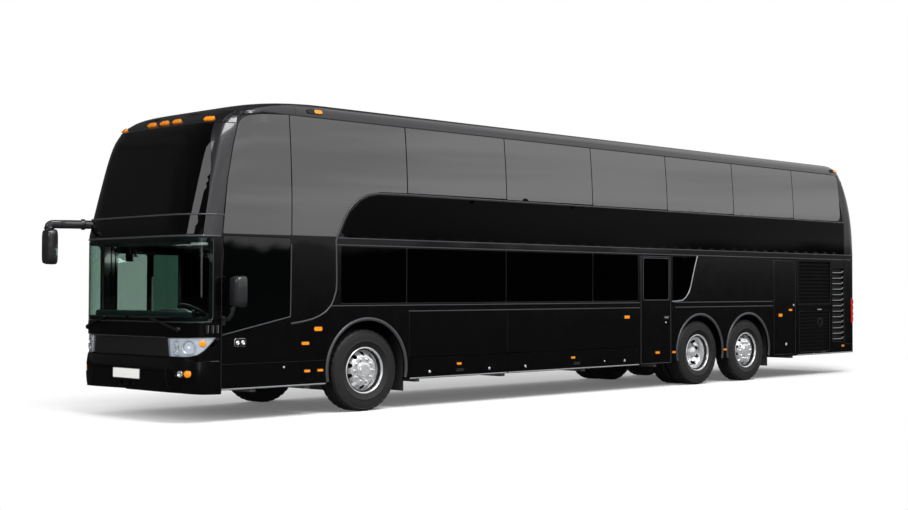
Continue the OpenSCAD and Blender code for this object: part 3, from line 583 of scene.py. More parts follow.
# The privacy panes, the driver's window and the upper screen are opaque near-black glass. The driver's window
# and the upper screen are painted shade of the cabin behind them; the privacy panes are partly dark tint and
# partly painted shade of the decks behind.
upper_glass_tint_and_shade = surface("upper_privacy_glass_and_painted_shade", "#0b0b0c", 0.03, ior=2.25, wear=0.3, grain=3)
lower_glass_tint_and_shade = surface("lower_privacy_glass_and_painted_shade", "#010101", 0.03, level=0.06, wear=0.3, grain=3)
driver_glass_painted_shade = surface("driver_window_painted_shade", "#020303", 0.02, ior=1.55, wear=0.3, grain=3)
screen_shade_and_band_black = surface("upper_screen_shade_and_band_black", "#020202", 0.03, level=0.35, wear=0.3, grain=3)
clear_green = tinted("green_tinted_glass", "#d2ded9")
clear_door = tinted("door_glass", "#d6dfdb")
dark_door = tinted("dark_door_glass", "#87a096")
rubber = surface("black_rubber", "#0b0b0c", 0.75, wear=0.2, bump=0.0006, bump_scale=300, grain=40)
tyre_rubber = surface("tyre_rubber", "#0d0d0f", 0.62, wear=0.25, bump=0.0008, bump_scale=160, grain=30,
    dust=0.05)
satin_trim = surface("satin_grey_trim", "#4b4c50", 0.35, metal=0.5, grain=20)
bright_trim = surface("bright_metal_trim", "#9a9ca0", 0.3, metal=0.6, grain=20)
grille_black = surface("grille_black", "#020202", 0.6, level=0.12, grain=20, bump=0.0004)
mirror_shell = surface("mirror_housing", "#1b1b1e", 0.35, coat=0.4, bump=0.0003, grain=30)
dark_plastic = surface("dark_moulded_plastic", "#0a0a0b", 0.5, bump=0.0005, bump_scale=500, grain=30)
frame_steel = surface("painted_frame_steel", "#1c1d1f", 0.55, bump=0.0006, bump_scale=120, grain=20,
    dust=0.5)
aluminium = surface("polished_aluminium", "#e3e4e6", 0.2, metal=0.62, wear=0.4, grain=90, tone=0.05)
steel_rim = surface("satin_wheel_steel", "#8e9094", 0.38, metal=0.9, wear=0.3, grain=60, dust=0.25)
chrome = surface("chrome_plate", "#eceded", 0.08, metal=0.72, wear=0.4, grain=30, tone=0.03)
amber_lens = surface("amber_lens", "#f08a12", 0.12, coat=0.6, grain=400, bump=0.001, bump_scale=600)
red_lens = surface("red_lens", "#cc120c", 0.12, coat=0.6, grain=400, bump=0.001, bump_scale=600)
white_plate = surface("white_plate_enamel", "#dfdfdc", 0.4, grain=80, tone=0.03, bump=0.0002)
mirror_glass = surface("mirror_silver", "#c8ccd0", 0.02, metal=1.0, tone=0.02)
cabin_plastic = surface("cabin_plastic", "#26282a", 0.6, bump=0.0006, bump_scale=400, grain=30)
teal_plastic = surface("dashboard_skin", "#25383a", 0.55, bump=0.0008, bump_scale=350, grain=30)
floor_vinyl = surface("floor_vinyl", "#2f3033", 0.55, bump=0.0004, bump_scale=300, grain=40)
cast_iron = surface("cast_iron", "#3c3e42", 0.6, metal=0.4, bump=0.002, bump_scale=60, grain=20, dust=0.3)
headliner = surface("headliner_cloth", "#3a3c40", 0.9, bump=0.001, bump_scale=900, grain=200)

# ---------------------------------------------------------------- side panels
# One pressing a side from the sill to the foot of the upper windows, with the arches, doors, flaps and
# windows cut out of it. The driver's window, the emergency and the radiator door are only on the left side,
# the entry door is only on the right.
WHEELS = {"front": 0.0, "drive": 7.0, "tag": 8.36}
ARCH_Z, SILL, FLAP_TOP, LOWER_SILL, UPPER_SILL = 0.55, 0.385, 0.675, 1.395, 2.855
INSET = 0.007
BELT_TRIMS, SILL_TRIM, TAIL_SEAM = (2.236, 2.148), 0.394, 11.455
BAYS = [(0.710, 2.520), (2.540, 5.430)]
EMERGENCY, LUGGAGE, RADIATOR = (5.460, 6.240), (9.100, 9.840), (9.870, 10.990)
DOOR_TOP, RADIATOR_TOP = 2.130, 1.250
REAR_ARCH = 0.605
DRIVER = rounded([(-2.165, 1.050), (-1.215, 1.254), (-1.205, 2.215), (-2.164, 2.222)], 0.03)
ENTRY = (-2.140, -1.140)
LOUVRES = rect(11.030, 0.60, 11.430, 1.99, 0.02)


def side_outline():
    """The pressing's rim: along the sill with the three arches, then up and over below the upper windows."""
    low = [(-2.190, SILL)] + arch(WHEELS["front"], ARCH_Z, 0.635, -15, 195)
    low += [(0.70, SILL), (5.44, SILL), (6.26, SILL)]
    for wheel in ("drive", "tag"):
        low += arch(WHEELS[wheel], ARCH_Z, REAR_ARCH, -15, 195)
    low += [(9.08, SILL), (11.450, SILL), (11.450, UPPER_SILL), (-2.105, UPPER_SILL), (-2.150, 2.5),
        (-2.190, 2.25)]
    return low


def notch(outline, pairs, top):
    """Cuts flaps that reach the sill out of the rim: the rim runs up and over each one."""
    points = []
    for p, q in zip(outline, outline[1:] + outline[:1]):
        points.append(p)
        if abs(p[1] - SILL) < 1e-6 and abs(q[1] - SILL) < 1e-6:
            for a, b, h in sorted((a, b, h) for a, b, h in zip([x[0] for x in pairs], [x[1] for x in pairs],
                    top) if p[0] <= a and b <= q[0]):
                points += [(a, SILL), (a, h), (b, h), (b, SILL)]
    return points


def make_side(name, chart, left):
    """One side pressing, with the openings of its doors, flaps, windows and grilles."""
    pairs = BAYS + [LUGGAGE] + ([EMERGENCY, RADIATOR] if left else [])
    tops = [FLAP_TOP] * 2 + [DOOR_TOP] + ([DOOR_TOP, RADIATOR_TOP] if left else [])
    outline = notch(side_outline(), pairs, tops)
    holes = [rect(-0.43, LOWER_SILL, 5.40, 2.135, 0.03), rect(9.885, 1.310, 10.980, 2.115, 0.05), LOUVRES]
    if left:
        holes += [DRIVER, rounded([(6.285, 1.400), (6.531, 1.415), (6.687, 1.530), (6.765, 1.718),
            (6.915, 2.130), (6.275, 2.120)], 0.03)]
    else:
        a, b = ENTRY
        outline = [outline[0], (a, SILL), (a, DOOR_TOP), (b, DOOR_TOP), (b, SILL)] + outline[1:]
        holes += [rect(5.50, LOWER_SILL, 6.90, 2.12, 0.05)]
    return shell(name, chart, outline, black_paint, (0.0, 0.045), holes)


place(make_side("left_side_panel", on_side, True), "body", "body_paint", "left_side_wall")
right_skin = make_side("right_side_panel", on_right, False)
header_rim = rect(ENTRY[0], DOOR_TOP - 0.06, ENTRY[1], DOOR_TOP + 0.05)
header = shell("door_header", on_right, header_rim, rubber, (0.062, 0.075))
place(joined("right_side_panel", [right_skin, header]), "body", "body_paint", "right_side_wall")

# ---------------------------------------------------------------- upper windows
# Bonded panes run flush from a raked front quarter to the tail, with narrow dark joints between them.
S_CURVE = [(-1.195, 1.159), (-1.05, 1.176), (-0.881, 1.208), (-0.76, 1.25), (-0.66, 1.305), (-0.59, 1.375),
    (-0.549, 1.446), (-0.507, 1.568), (-0.500, 1.70), (-0.511, 2.20), (-0.490, 2.262), (-0.461, 2.323),
    (-0.390, 2.469), (-0.314, 2.595), (-0.235, 2.680), (-0.135, 2.748), (-0.060, 2.785), (0.022, 2.814),
    (0.181, 2.838), (0.671, 2.846), (5.70, 2.850), (11.41, 2.852)]
PANES = [-1.195, 0.666, 2.510, 4.342, 6.145, 7.946, 9.764, 11.330]
UPPER_TOP = 3.735
for side, chart, label in SIDES:
    first = rounded([(-2.172, 2.246), (-1.203, 2.250), (-1.203, UPPER_TOP + 0.012, 0.01),
        (-1.62, 3.722, 0.1), (-1.845, 3.672, 0.08), (-1.935, 3.585, 0.06), (-2.018, 3.31, 0.1),
        (-2.112, 2.868, 0.1)], 0.02)
    second = [(-1.187, 2.250), (-0.515, 2.250)] + [(d - 0.014, z + 0.010) for d, z in S_CURVE[10:-3]]
    second += [(0.181, 2.856), (0.658, 2.864), (0.658, UPPER_TOP + 0.010), (-1.187, UPPER_TOP + 0.010)]
    shapes = [first, second]
    for i, (a, b) in enumerate(zip(PANES[1:-1], PANES[2:])):
        last = i == len(PANES) - 3
        shapes.append(rounded([(a + 0.008, 2.868, 0.02), (b - 0.008, 2.878, 0.14 if last else 0.02),
            (b - 0.008 - (0.03 if last else 0), UPPER_TOP + 0.01, 0.12 if last else 0.01),
            (a + 0.008, UPPER_TOP + 0.01, 0.01)], 0.02))
    # the upper panes' opaque near-black is partly tint and partly painted shade of the upper deck behind them
    panes = [shell(f"pane_{i}", chart, shape, upper_glass_tint_and_shade, (-0.0035, 0.012), step=0.12, edge=0.002)
        for i, shape in enumerate(shapes)]
    panes.append(shell("glass_backing", chart, [(-2.13, 2.845), (11.41, 2.845), (11.41, 3.76),
        (-1.60, 3.76), (-1.90, 3.70), (-1.98, 3.585), (-2.06, 3.31)], rubber, (0.013, 0.03),
        [rect(a + 0.09, 2.94, b - 0.09, 3.66, 0.05) for a, b in zip(PANES[:-1], PANES[1:])], edge=0))
    panes.append(strip("top_seal", chart, [(-1.60, 3.752), (11.36, 3.752)], 0.022, 0.004, rubber, step=0.3))
    place(joined(f"{label}_upper_windows", panes), "body", "glass_dark",
        *(["upper_windows"] if side == LEFT else []))

# ---------------------------------------------------------------- belt and lower windows
# Between the two rows of glass lies a gloss band; the lower glass is a single dark strip with faint mullions,
# opaque near-black that is partly tint and partly painted shade of the lower deck behind it.
for side, chart, label in SIDES:
    band = [(-0.36, 2.245), (11.44, 2.245), (11.44, 2.842), (5.7, 2.842), (0.66, 2.825), (0.181, 2.818),
        (0.022, 2.79), (-0.12, 2.725), (-0.29, 2.575), (-0.365, 2.45), (-0.43, 2.31)]
    belt = shell("belt_band", chart, band, belt_gloss, (-0.002, 0.003), step=0.08, edge=0.001)
    place(joined(f"{label}_belt_band", [belt]), "body", "body_paint")
    mullions = [-0.44, 0.656, 2.500, 4.345, 5.41]
    panes = [shell(f"low_{i}", chart, rect(a + 0.006, LOWER_SILL + 0.012, b - 0.006, 2.126, 0.02),
        lower_glass_tint_and_shade, (0.0005, 0.012), step=0.1, edge=0.002) for i, (a, b) in enumerate(zip(mullions[:-1],
        mullions[1:]))]
    panes.append(shell("seal", chart, rect(-0.445, LOWER_SILL + 0.002, 5.41, 2.132, 0.02), rubber,
        (0.004, 0.018), [rect(a + 0.02, LOWER_SILL + 0.03, b - 0.02, 2.11, 0.02)
        for a, b in zip(mullions[:-1], mullions[1:])], step=0.3, edge=0))
    if side == LEFT:
        # the driver's window is opaque near-black: painted shade of the cab behind it
        panes.append(shell("driver_glass_painted_shade", chart, [(p[0] * 0.996 - 0.006, p[1] * 0.996 + 0.006)
            for p in DRIVER], driver_glass_painted_shade, (0.002, 0.012), edge=0.002))
        quarter = rounded([(6.290, 1.406), (6.529, 1.421), (6.683, 1.535), (6.760, 1.720), (6.906, 2.124),
            (6.281, 2.114)], 0.03)
        panes.append(shell("quarter_glass", chart, quarter, lower_glass_tint_and_shade, (0.001, 0.012), edge=0.002))
    else:
        panes.append(shell("rear_quarter", chart, rect(5.506, LOWER_SILL + 0.006, 6.894, 2.114, 0.045),
            lower_glass_tint_and_shade, (0.001, 0.012), edge=0.002))
    place(joined(f"{label}_lower_windows", panes), "body", "glass_dark",
        *(["lower_windows"] if side == LEFT else []))

# ---------------------------------------------------------------- roof, cap and pillars
# The roof is one skin of rings that shrink from the cove to the crown. The dark cap over the nose is the
# part of each ring ahead of a line that climbs back along the cove.
def roof_levels(n_edge=10, n_crown=12):
    """Points (half width, height) from the cove to the crown: the edge arc, then a parabola."""
    z = list(np.linspace(3.745, EAVE, 3)[:-1])
    points = [(float(width_at(v)), v) for v in z]
    for a in np.linspace(0, math.radians(84), n_edge):
        points.append((HALF - 0.070 - EDGE + EDGE * math.cos(a), EAVE + EDGE * math.sin(a)))
    x0, z0 = points[-1]
    points += [(x0 * (1 - i / n_crown), TALL - (TALL - z0) * (1 - i / n_crown) ** 2)
        for i in range(1, n_crown + 1)]
    return points


def ring_points(x, z):
    """One ring of the roof, from the tail's middle forward along the left side to the nose's middle."""
    k, back, rear = x / HALF, float(front_back(z)), float(rear_back(z))
    c = min(REAR_EDGE, x / 2 + 1e-4)
    a = np.linspace(0, math.pi / 2, 7)
    tail = [(x - c + c * math.sin(t), TAIL - rear - c * (1 - math.cos(t))) for t in a]
    tail = [(0, TAIL - rear), ((x - c) / 2, TAIL - rear)] + tail
    side = [(x, d) for d in np.linspace(TAIL - rear - c, NOSE + back + PLAN * k, 60)[1:-1]]
    nose = [(x * math.sin(t) ** 0.25, NOSE + back + PLAN * k * (1 - math.cos(t)))
        for t in np.linspace(math.pi / 2, 0, 25)]
    return np.array([(px, AXLE_Y + d, z) for px, d in tail + side + nose])


def skin_of(name, rings, material, thickness=0.03):
    """A closed skin from rings of equal length, mirrored left to right, its inner face set in and lower."""
    rings = np.array(rings)
    mirrored = rings[:, ::-1][:, 1:] * np.array([-1, 1, 1])
    full = np.concatenate([rings, mirrored], 1)
    n, m = full.shape[:2]
    inner = full.copy()
    shift = (full - MIDDLE) * np.array([1, 0.2, 0])
    inner -= shift / (np.linalg.norm(shift, axis=-1, keepdims=True) + 1e-6) * thickness * 0.5
    inner[..., 2] -= thickness
    points = np.concatenate([full.reshape(-1, 3), inner.reshape(-1, 3)])
    quad = grid_faces(n, m, False, True)
    faces = [q[::-1] for q in quad] + [tuple(n * m + v for v in q) for q in quad]
    faces += [(j, (j + 1) % m, n * m + (j + 1) % m, n * m + j) for j in range(m)]
    return mesh_object(name, points, faces, material, sharp=60)


levels = roof_levels()
roof = skin_of("roof_skin", [ring_points(x, z) for x, z in levels], cove_paint)
roof.data.materials.append(cap_paint)
middles = np.array([p.center[:] for p in roof.data.polygons])
line_d, line_z = [-2.14, -1.96, -1.83, -1.69, -1.30, -0.60], [3.69, 3.752, 3.785, 3.812, 3.850, 3.885]
climb = np.interp(middles[:, 1] - AXLE_Y, line_d, line_z)
crown = middles[:, 2] > climb
roof.data.polygons.foreach_set("material_index", crown.astype(int).tolist())
roof.data.update()

pieces = [roof]
# brow: the strip of the nose between the upper windscreen and the roof skin, and the rail over the side glass
top_s = front_s(1.205)
pieces.append(shell("cap_brow", on_front, [(-top_s, 3.588), (top_s, 3.588), (top_s, 3.747),
    (-top_s, 3.747)], cap_paint, (0.0, 0.03), step=0.06, edge=0.003))
for side, chart in ((LEFT, on_side), (RIGHT, on_right)):
    rail = [(-2.128, 3.588), (-1.955, 3.588), (-1.935, 3.65), (-1.86, 3.705), (-1.62, 3.742),
        (11.36, 3.7485), (11.36, 3.7505), (-2.05, 3.7505)]
    pieces.append(shell("rail", chart, rail, cove_paint, (0.0, 0.03), step=0.06, edge=0.002))
for chart in (on_side, on_right):
    pieces.append(strip("cove_seam", chart, [(-1.10, 3.755), (-1.10, 3.86)], 0.010, 0.002, rubber,
        step=0.02))
place(joined("roof_and_cap", pieces), "body", "body_paint", "roof_shell", "front_shell")

for side, chart, label in SIDES:
    # pillar from the waist to the brow, between the curved glass and the first side pane
    z = np.linspace(2.215, 3.580, 24)
    fore = np.interp(z, [2.2, 2.465, 2.720, 3.150, 3.580], [1.262, 1.253, 1.243, 1.200, 1.088])
    ratio = np.clip(fore / width_at(z), 0, 1)
    fore_d = NOSE + front_back(z) + PLAN * width_at(z) / HALF * (1 - np.sqrt(1 - ratio ** 8))
    aft_d = np.interp(z, [2.2, 2.455, 2.875, 3.31, 3.585], [-2.190, -2.166, -2.118, -2.026, -1.943])
    d = fore_d + (aft_d - fore_d) * np.linspace(0, 1, 14)[:, None] ** 1.6
    heights = np.broadcast_to(z, d.shape)
    outer, inner = (inward(chart, d, heights, depth).reshape(-1, 3) for depth in (0.0, 0.04))
    faces = grid_faces(*d.shape)
    if side == RIGHT:
        faces = [face[::-1] for face in faces]
    pillar = slab(f"{label}_pillar", outer, inner, faces, cove_paint, 50)
    place(bevel(pillar, 0.003), "body", "body_paint")

# ---------------------------------------------------------------- front
# From the brow down: the raked upper screen, a gloss band between two trims, the wrap-round lower screen,
# the wiper panel, a ribbed panel between the headlamps, and a bumper that stands a little proud.
def front_at(x, z):
    """The distance s on the nose whose half width at height z is x."""
    return math.copysign(front_s(HALF * min(1.0, abs(x) / float(width_at(z)))), x)


def mirrored_outline(half):
    """A closed outline from its left half, listed from bottom middle to top middle."""
    return half + [(-p[0],) + tuple(p[1:]) for p in half[::-1]]


SEAM_S = NOSE_S + 0.040
SCREEN_S = front_s(1.290)
upper = [(front_at(x, z), z) for x, z in ((1.247, 2.470), (1.240, 2.720), (1.222, 2.95), (1.193, 3.150),
    (1.145, 3.38), (1.083, 3.555))] + [(front_at(1.02, 3.58), 3.580)]
# the upper screen is opaque near-black: painted shade of the upper deck behind it
screen = shell("upper_screen", on_front, mirrored_outline(upper), screen_shade_and_band_black, (0.001, 0.014), step=0.08,
    edge=0.002)
place(screen, "body", "glass_dark", "upper_windscreen")
lower_outline = rounded([(-SCREEN_S, 1.205), (SCREEN_S, 1.205), (SCREEN_S, 2.190), (-SCREEN_S, 2.190)],
    0.06)
lower = shell("lower_screen", on_front, lower_outline, clear_green, (0.002, 0.010), step=0.06, edge=0)
place(lower, "body", "glass_clear", "lower_windscreen")

pieces = []
band_s = front_s(1.256)
pieces.append(shell("band", on_front, [(-band_s, 2.214), (band_s, 2.214), (front_at(1.250, 2.46), 2.462),
    (-front_at(1.250, 2.46), 2.462)], screen_shade_and_band_black, (0.002, 0.02), step=0.1))
pieces.append(shell("screen_frame", on_front, rect(-SCREEN_S - 0.012, 1.190, SCREEN_S + 0.012, 2.205, 0.05),
    rubber, (0.011, 0.04), [rect(-SCREEN_S + 0.035, 1.255, SCREEN_S - 0.035, 2.140, 0.06)], step=0.1))
pieces.append(shell("wiper_panel", on_front, rect(-SEAM_S, 1.018, SEAM_S, 1.188), black_paint, (0.0, 0.03),
    step=0.08))
for m in (1, -1):
    post = [(m * (SCREEN_S + 0.014), 1.194), (m * SEAM_S, 1.194), (m * SEAM_S, 2.207),
        (m * (SCREEN_S + 0.014), 2.207)]
    pieces.append(shell("corner_post", on_front, post[::m], black_paint, (0.0, 0.03), step=0.03))
lamp_tip = NOSE_S - 0.020
lamp_shape = [(front_s(0.862), 1.008), (front_s(0.895), 0.792), (front_s(1.165), 0.790),
    (front_s(1.235), 0.812), (front_s(1.268), 0.862), (front_s(1.285), 0.925), (lamp_tip, 1.012)]
for m in (1, -1):
    cheek = [(front_s(1.165), 0.782), (front_s(1.240), 0.804), (front_s(1.275), 0.856),
        (lamp_tip - 0.018, 0.922), (lamp_tip + 0.010, 1.010), (SEAM_S, 1.010), (SEAM_S, 0.736),
        (front_s(1.21), 0.738)]
    pieces.append(shell("cheek", on_front, [(m * a, b) for a, b in cheek], black_paint, (0.0, 0.03),
        step=0.04))
place(joined("front_panels", pieces), "body", "body_paint")

ribbed, t, out = blank_material("ribbed_grille_plastic")
where = add(t, "TexCoord")
ribs = add(t, "TexWave", [("Vector", where.outputs["Object"])], Scale=38.0, Distortion=0.4, Detail=2.0)
relief = add(t, "Bump", [("Height", ribs.outputs["Fac"])], Strength=0.7, Distance=0.003)
body = add(t, "BsdfPrincipled", [("Normal", relief.outputs[0])], Roughness=0.42, Base_Color=srgb("#141416"))
t.links.new(body.outputs[0], out.inputs["Surface"])
grille_half = [(front_s(0.884), 0.786), (front_s(0.852), 1.011)]
pieces = [shell("grille_panel", on_front, mirrored_outline(grille_half), ribbed, (0.022, 0.045), step=0.08)]
# the light strip along the grille panel's top edge is a painted highlight
pieces.append(strip("grille_top_painted_highlight", on_front, [(-front_s(0.85), 1.014), (front_s(0.85), 1.014)], 0.010,
    0.004, satin_trim))
place(joined("front_grille", pieces), "body", "black_plastic")


def turned(name, profile, material, point, normal, segments=40):
    """A profile of (radius, height) turned round a normal that starts at a point."""
    n = Vector(normal).normalized()
    u = n.orthogonal().normalized()
    v = n.cross(u)
    a = np.linspace(0, 2 * math.pi, segments, endpoint=False)
    profile = np.array(profile, float)
    ring = np.cos(a)[:, None, None] * np.array(u) + np.sin(a)[:, None, None] * np.array(v)
    points = np.array(point, float) + ring * profile[None, :, :1] + np.array(n) * profile[None, :, 1:]
    faces = grid_faces(segments, len(profile), True, flip=True)
    return mesh_object(name, points.reshape(-1, 3), faces, material)


def on_skin(chart, a, b, depth=0.0):
    """A point of a chart at a depth, and the outward normal there."""
    p = inward(chart, np.array([a]), np.array([b]), depth)[0]
    q = inward(chart, np.array([a]), np.array([b]), depth - 0.01)[0]
    return p, (q - p) / np.linalg.norm(q - p)


def stud(name, chart, a, b, profile, material, depth=0.0, segments=32):
    """A turned piece that stands on a chart."""
    p, n = on_skin(chart, a, b, depth)
    return turned(name, profile, material, p, n, segments)


# headlamps: a bright bowl with three recessed reflectors and an amber turn lamp behind one clear cover
lamp_cover = tinted("clear_lamp_cover", "#eef1f4")
bulb, t, out = blank_material("lit_bulb_glass")
glow = add(t, "BsdfPrincipled", Base_Color=srgb("#eef0f4"), Roughness=0.08, Coat_Weight=1.0)
t.links.new(glow.outputs[0], out.inputs["Surface"])
lamp_silver = surface("lamp_silver", "#f2f4f6", 0.25, coat=0.8, wear=0.3, grain=25, tone=0.12, bump=0.0015,
    bump_scale=35)
for m, label in ((1, "left"), (-1, "right")):
    outline = [(m * a, b) for a, b in rounded(lamp_shape, 0.02)]
    s = front_s(1.10)
    smaller = [(m * (s + (m * a - s) * 0.975), 0.90 + (b - 0.90) * 0.975) for a, b in outline]
    pieces = [shell("cover", on_front, outline, lamp_cover, (0.012, 0.016), step=0.04, edge=0),
        shell("bowl", on_front, outline, lamp_silver, (0.026, 0.045), step=0.04),
        shell("rim", on_front, outline, bright_trim, (0.010, 0.035), [smaller], step=0.05, edge=0)]
    for s, z, r in ((front_s(1.01), 0.935, 0.036), (front_s(1.015), 0.850, 0.046),
            (front_s(1.165), 0.895, 0.078)):
        bowl = [(r * 1.12, -0.006), (r * 1.10, 0.008), (r, 0.008), (r * 0.93, -0.002), (r * 0.7, -0.014),
            (r * 0.35, -0.022), (0.004, -0.024)]
        pieces.append(stud("reflector", on_front, m * s, z, bowl, chrome, 0.022))
        pieces.append(stud("bulb", on_front, m * s, z, [(r * 0.34, -0.02), (r * 0.34, 0.0),
            (r * 0.2, 0.008), (0.001, 0.010)], bulb, 0.022, 20))
    pieces.append(stud("turn_lamp", on_front, m * front_s(1.262), 0.945,
        [(0.040, -0.01), (0.040, 0.004), (0.028, 0.012), (0.001, 0.015)], amber_lens, 0.020))
    place(joined(f"{label}_headlamp", pieces), "body", "lamp_clear", *(["headlamps"] if m > 0 else []))


# bumper: it bulges 22 mm at its middle height but not at the corners, and has fog lamps, tow slots, a plate
# and two seams
def swell(s, z):
    """How far the bumper stands out of the nose."""
    return 0.022 * np.sin(np.clip((z - 0.33) / 0.45, 0, 1)
        * math.pi) ** 0.9 * np.clip((1.45 - abs(s)) / 0.35, 0, 1)


half = [(0.0, 0.378), (front_s(1.07), 0.366), (front_s(1.26), 0.345), (SEAM_S, 0.340), (SEAM_S, 0.728),
    (front_s(1.22), 0.730), (front_s(1.17), 0.774), (front_s(0.9), 0.778), (0.0, 0.778)]
outline = half + [(-a, b) for a, b in half[::-1] if a > 0]
slots = [rect(-0.155, 0.425, -0.045, 0.465, 0.012), rect(0.045, 0.425, 0.155, 0.465, 0.012)]
wells = [rect(m * front_s(1.12) - 0.105, 0.548, m * front_s(1.12) + 0.105, 0.632, 0.04) for m in (1, -1)]
pieces = [shell("bumper_skin", on_front, outline, black_paint, (0.0, 0.045), slots + wells, step=0.05,
    edge=0.008, bulge=swell)]
# the dark sheet behind the tow slots is painted shade
pieces.append(shell("slot_painted_shade_backing", on_front, rect(-0.20, 0.40, 0.20, 0.49), rubber, (0.02, 0.03), step=0.1,
    edge=0))
for m in (1, -1):
    c = m * front_s(1.12)
    pieces.append(shell("well", on_front, rect(c - 0.115, 0.54, c + 0.115, 0.64), dark_plastic,
        (0.018, 0.03), step=0.05, edge=0))
    pieces.append(stud("fog_lamp", on_front, c - m * 0.055, 0.59, [(0.040, -0.02), (0.040, 0.012),
        (0.034, 0.014), (0.02, 0.004), (0.001, 0.0)], chrome, 0.015))
    pieces.append(stud("fog_turn", on_front, c + m * 0.05, 0.59, [(0.043, -0.02), (0.043, 0.006),
        (0.03, 0.018), (0.001, 0.023)], amber_lens, 0.0))
place(joined("front_bumper_skin", pieces), "body", "body_paint", "front_bumper")


def on_bumper(s, z):
    """The bumper's outer face: the nose moved out by the swell."""
    s, z = np.broadcast_arrays(np.asarray(s, float), np.asarray(z, float))
    return inward(on_front, s, z, -swell(s, z))


pieces = []
for m in (1, -1):
    pieces.append(strip("bumper_seam", on_bumper, [(m * front_s(a), b)
        for a, b in ((0.93, 0.776), (0.875, 0.70), (0.86, 0.60), (0.875, 0.50), (0.92, 0.42),
        (0.97, 0.372))], 0.007, 0.0006, rubber))
plate = [shell("plate", on_bumper, rect(-0.305, 0.508, 0.305, 0.622, 0.008), white_plate, (-0.010, -0.004),
    step=0.1), shell("plate_tray", on_bumper, rect(-0.32, 0.494, 0.32, 0.636, 0.01), dark_plastic,
    (-0.004, 0.004), step=0.1)]
place(joined("front_plate", plate), "body", "plate_white")
place(joined("bumper_seams", pieces), "body", "black_plastic")

# trims: two across the nose, one thin line round the lower screen, one at the brow, and three vents a side
pieces = []
for m in (1, -1):
    pieces.append(strip("screen_line", on_front, [(0, 1.196)] + [(m * s, z)
        for s, z in ((SCREEN_S - 0.10, 1.196), (SCREEN_S - 0.02, 1.204), (SCREEN_S + 0.004, 1.24),
        (SCREEN_S + 0.006, 1.30), (SCREEN_S + 0.006, 2.20))], 0.009, 0.004, satin_trim))
for end, z in ((NOSE_S + 0.03, 2.212), (NOSE_S + 0.02, 2.468)):
    pieces.append(strip("nose_trim", on_front, [(-end, z), (end, z)], 0.022, 0.007, satin_trim))
top_line = [(-front_at(1.06, 3.585), 3.585), (front_at(1.06, 3.585), 3.585)]
pieces.append(strip("brow_line", on_front, top_line, 0.012, 0.003, rubber))
for m in (1, -1):
    for k in range(3):
        a = NOSE_S - 0.155 + 0.062 * k
        pieces.append(shell("vent", on_front, [(m * p, q) for p, q in rounded([(a, 1.160),
            (a + 0.036, 1.160), (a + 0.030, 1.062), (a + 0.010, 1.062)], 0.012)], rubber, (-0.0015, 0.004),
            step=0.03, edge=0))
        pieces.append(strip("vent_lip", on_front, [(m * (a + 0.036), 1.158), (m * (a + 0.030), 1.066)],
            0.007, 0.004, bright_trim))
place(joined("front_trims", pieces), "body", "trim_satin")
pieces = []
for x, z in ((-0.985, 3.628), (-0.29, 3.648), (0.0, 3.65), (0.29, 3.648), (0.985, 3.628)):
    s = front_at(x, z)
    pieces.append(shell("marker", on_front, rect(s - 0.075, z - 0.020, s + 0.075, z + 0.020, 0.016),
        amber_lens, (-0.022, 0.004), step=0.05, edge=0.008))
place(joined("roof_markers", pieces), "body", "lamp_amber")

# wipers: a pivot at each outer end, an arm that rises inwards, and a long blade low on the glass
pieces = []
for m in (1, -1):
    base, n = on_skin(on_front, m * front_s(1.05), 1.108)
    pieces.append(turned("pivot", [(0.030, -0.01), (0.030, 0.018), (0.022, 0.030), (0.001, 0.034)],
        dark_plastic, base, n, 28))
    line = [(m * front_s(1.05), 1.108), (m * front_s(0.86), 1.165), (m * front_s(0.55), 1.235)]
    path = [on_skin(on_front, a0 + (a1 - a0) * t, b0 + (b1 - b0) * t, -0.030)
        for (a0, b0), (a1, b1) in zip(line[:-1], line[1:]) for t in np.linspace(0, 1, 8)]
    path = [path[i] for i in range(len(path)) if i == 0 or np.linalg.norm(path[i][0]
        - path[i - 1][0]) > 0.005]
    pieces.append(swept("arm", path, bar(0.014, -0.006, 0.007, 0.010), dark_plastic))
    blade = [on_skin(on_front, m * front_s(a), 1.246 + 0.006 * (a - 0.1), -0.016)
        for a in np.linspace(0.92, 0.05, 24)]
    pieces.append(swept("blade", blade, bar(0.010, -0.006, 0.008, 0.006), dark_plastic))
    lip = [on_skin(on_front, m * front_s(a), 1.246 + 0.006 * (a - 0.1), -0.002)
        for a in np.linspace(0.90, 0.07, 24)]
    pieces.append(swept("lip", lip, bar(0.002, -0.001, 0.010, 0.003), rubber))
    p, n = on_skin(on_front, m * front_s(0.55), 1.240, -0.018)
    pieces.append(turned("joint", [(0.018, -0.008), (0.018, 0.022), (0.001, 0.024)], dark_plastic, p, n,
        20))
place(joined("wiper_pair", pieces), "body", "black_plastic", "wipers")

# ---------------------------------------------------------------- wheels
# Ten-stud wheels on 1.06 m tyres. The front and tag wheels are polished and dished outwards; the outer
# drive wheels are dished inwards, with a second wheel behind each.
TYRE_R, SEAT_R, NUT_R = 0.530, 0.285, 0.1475
WHEEL_X, TWIN_X = 1.0975, 0.7525


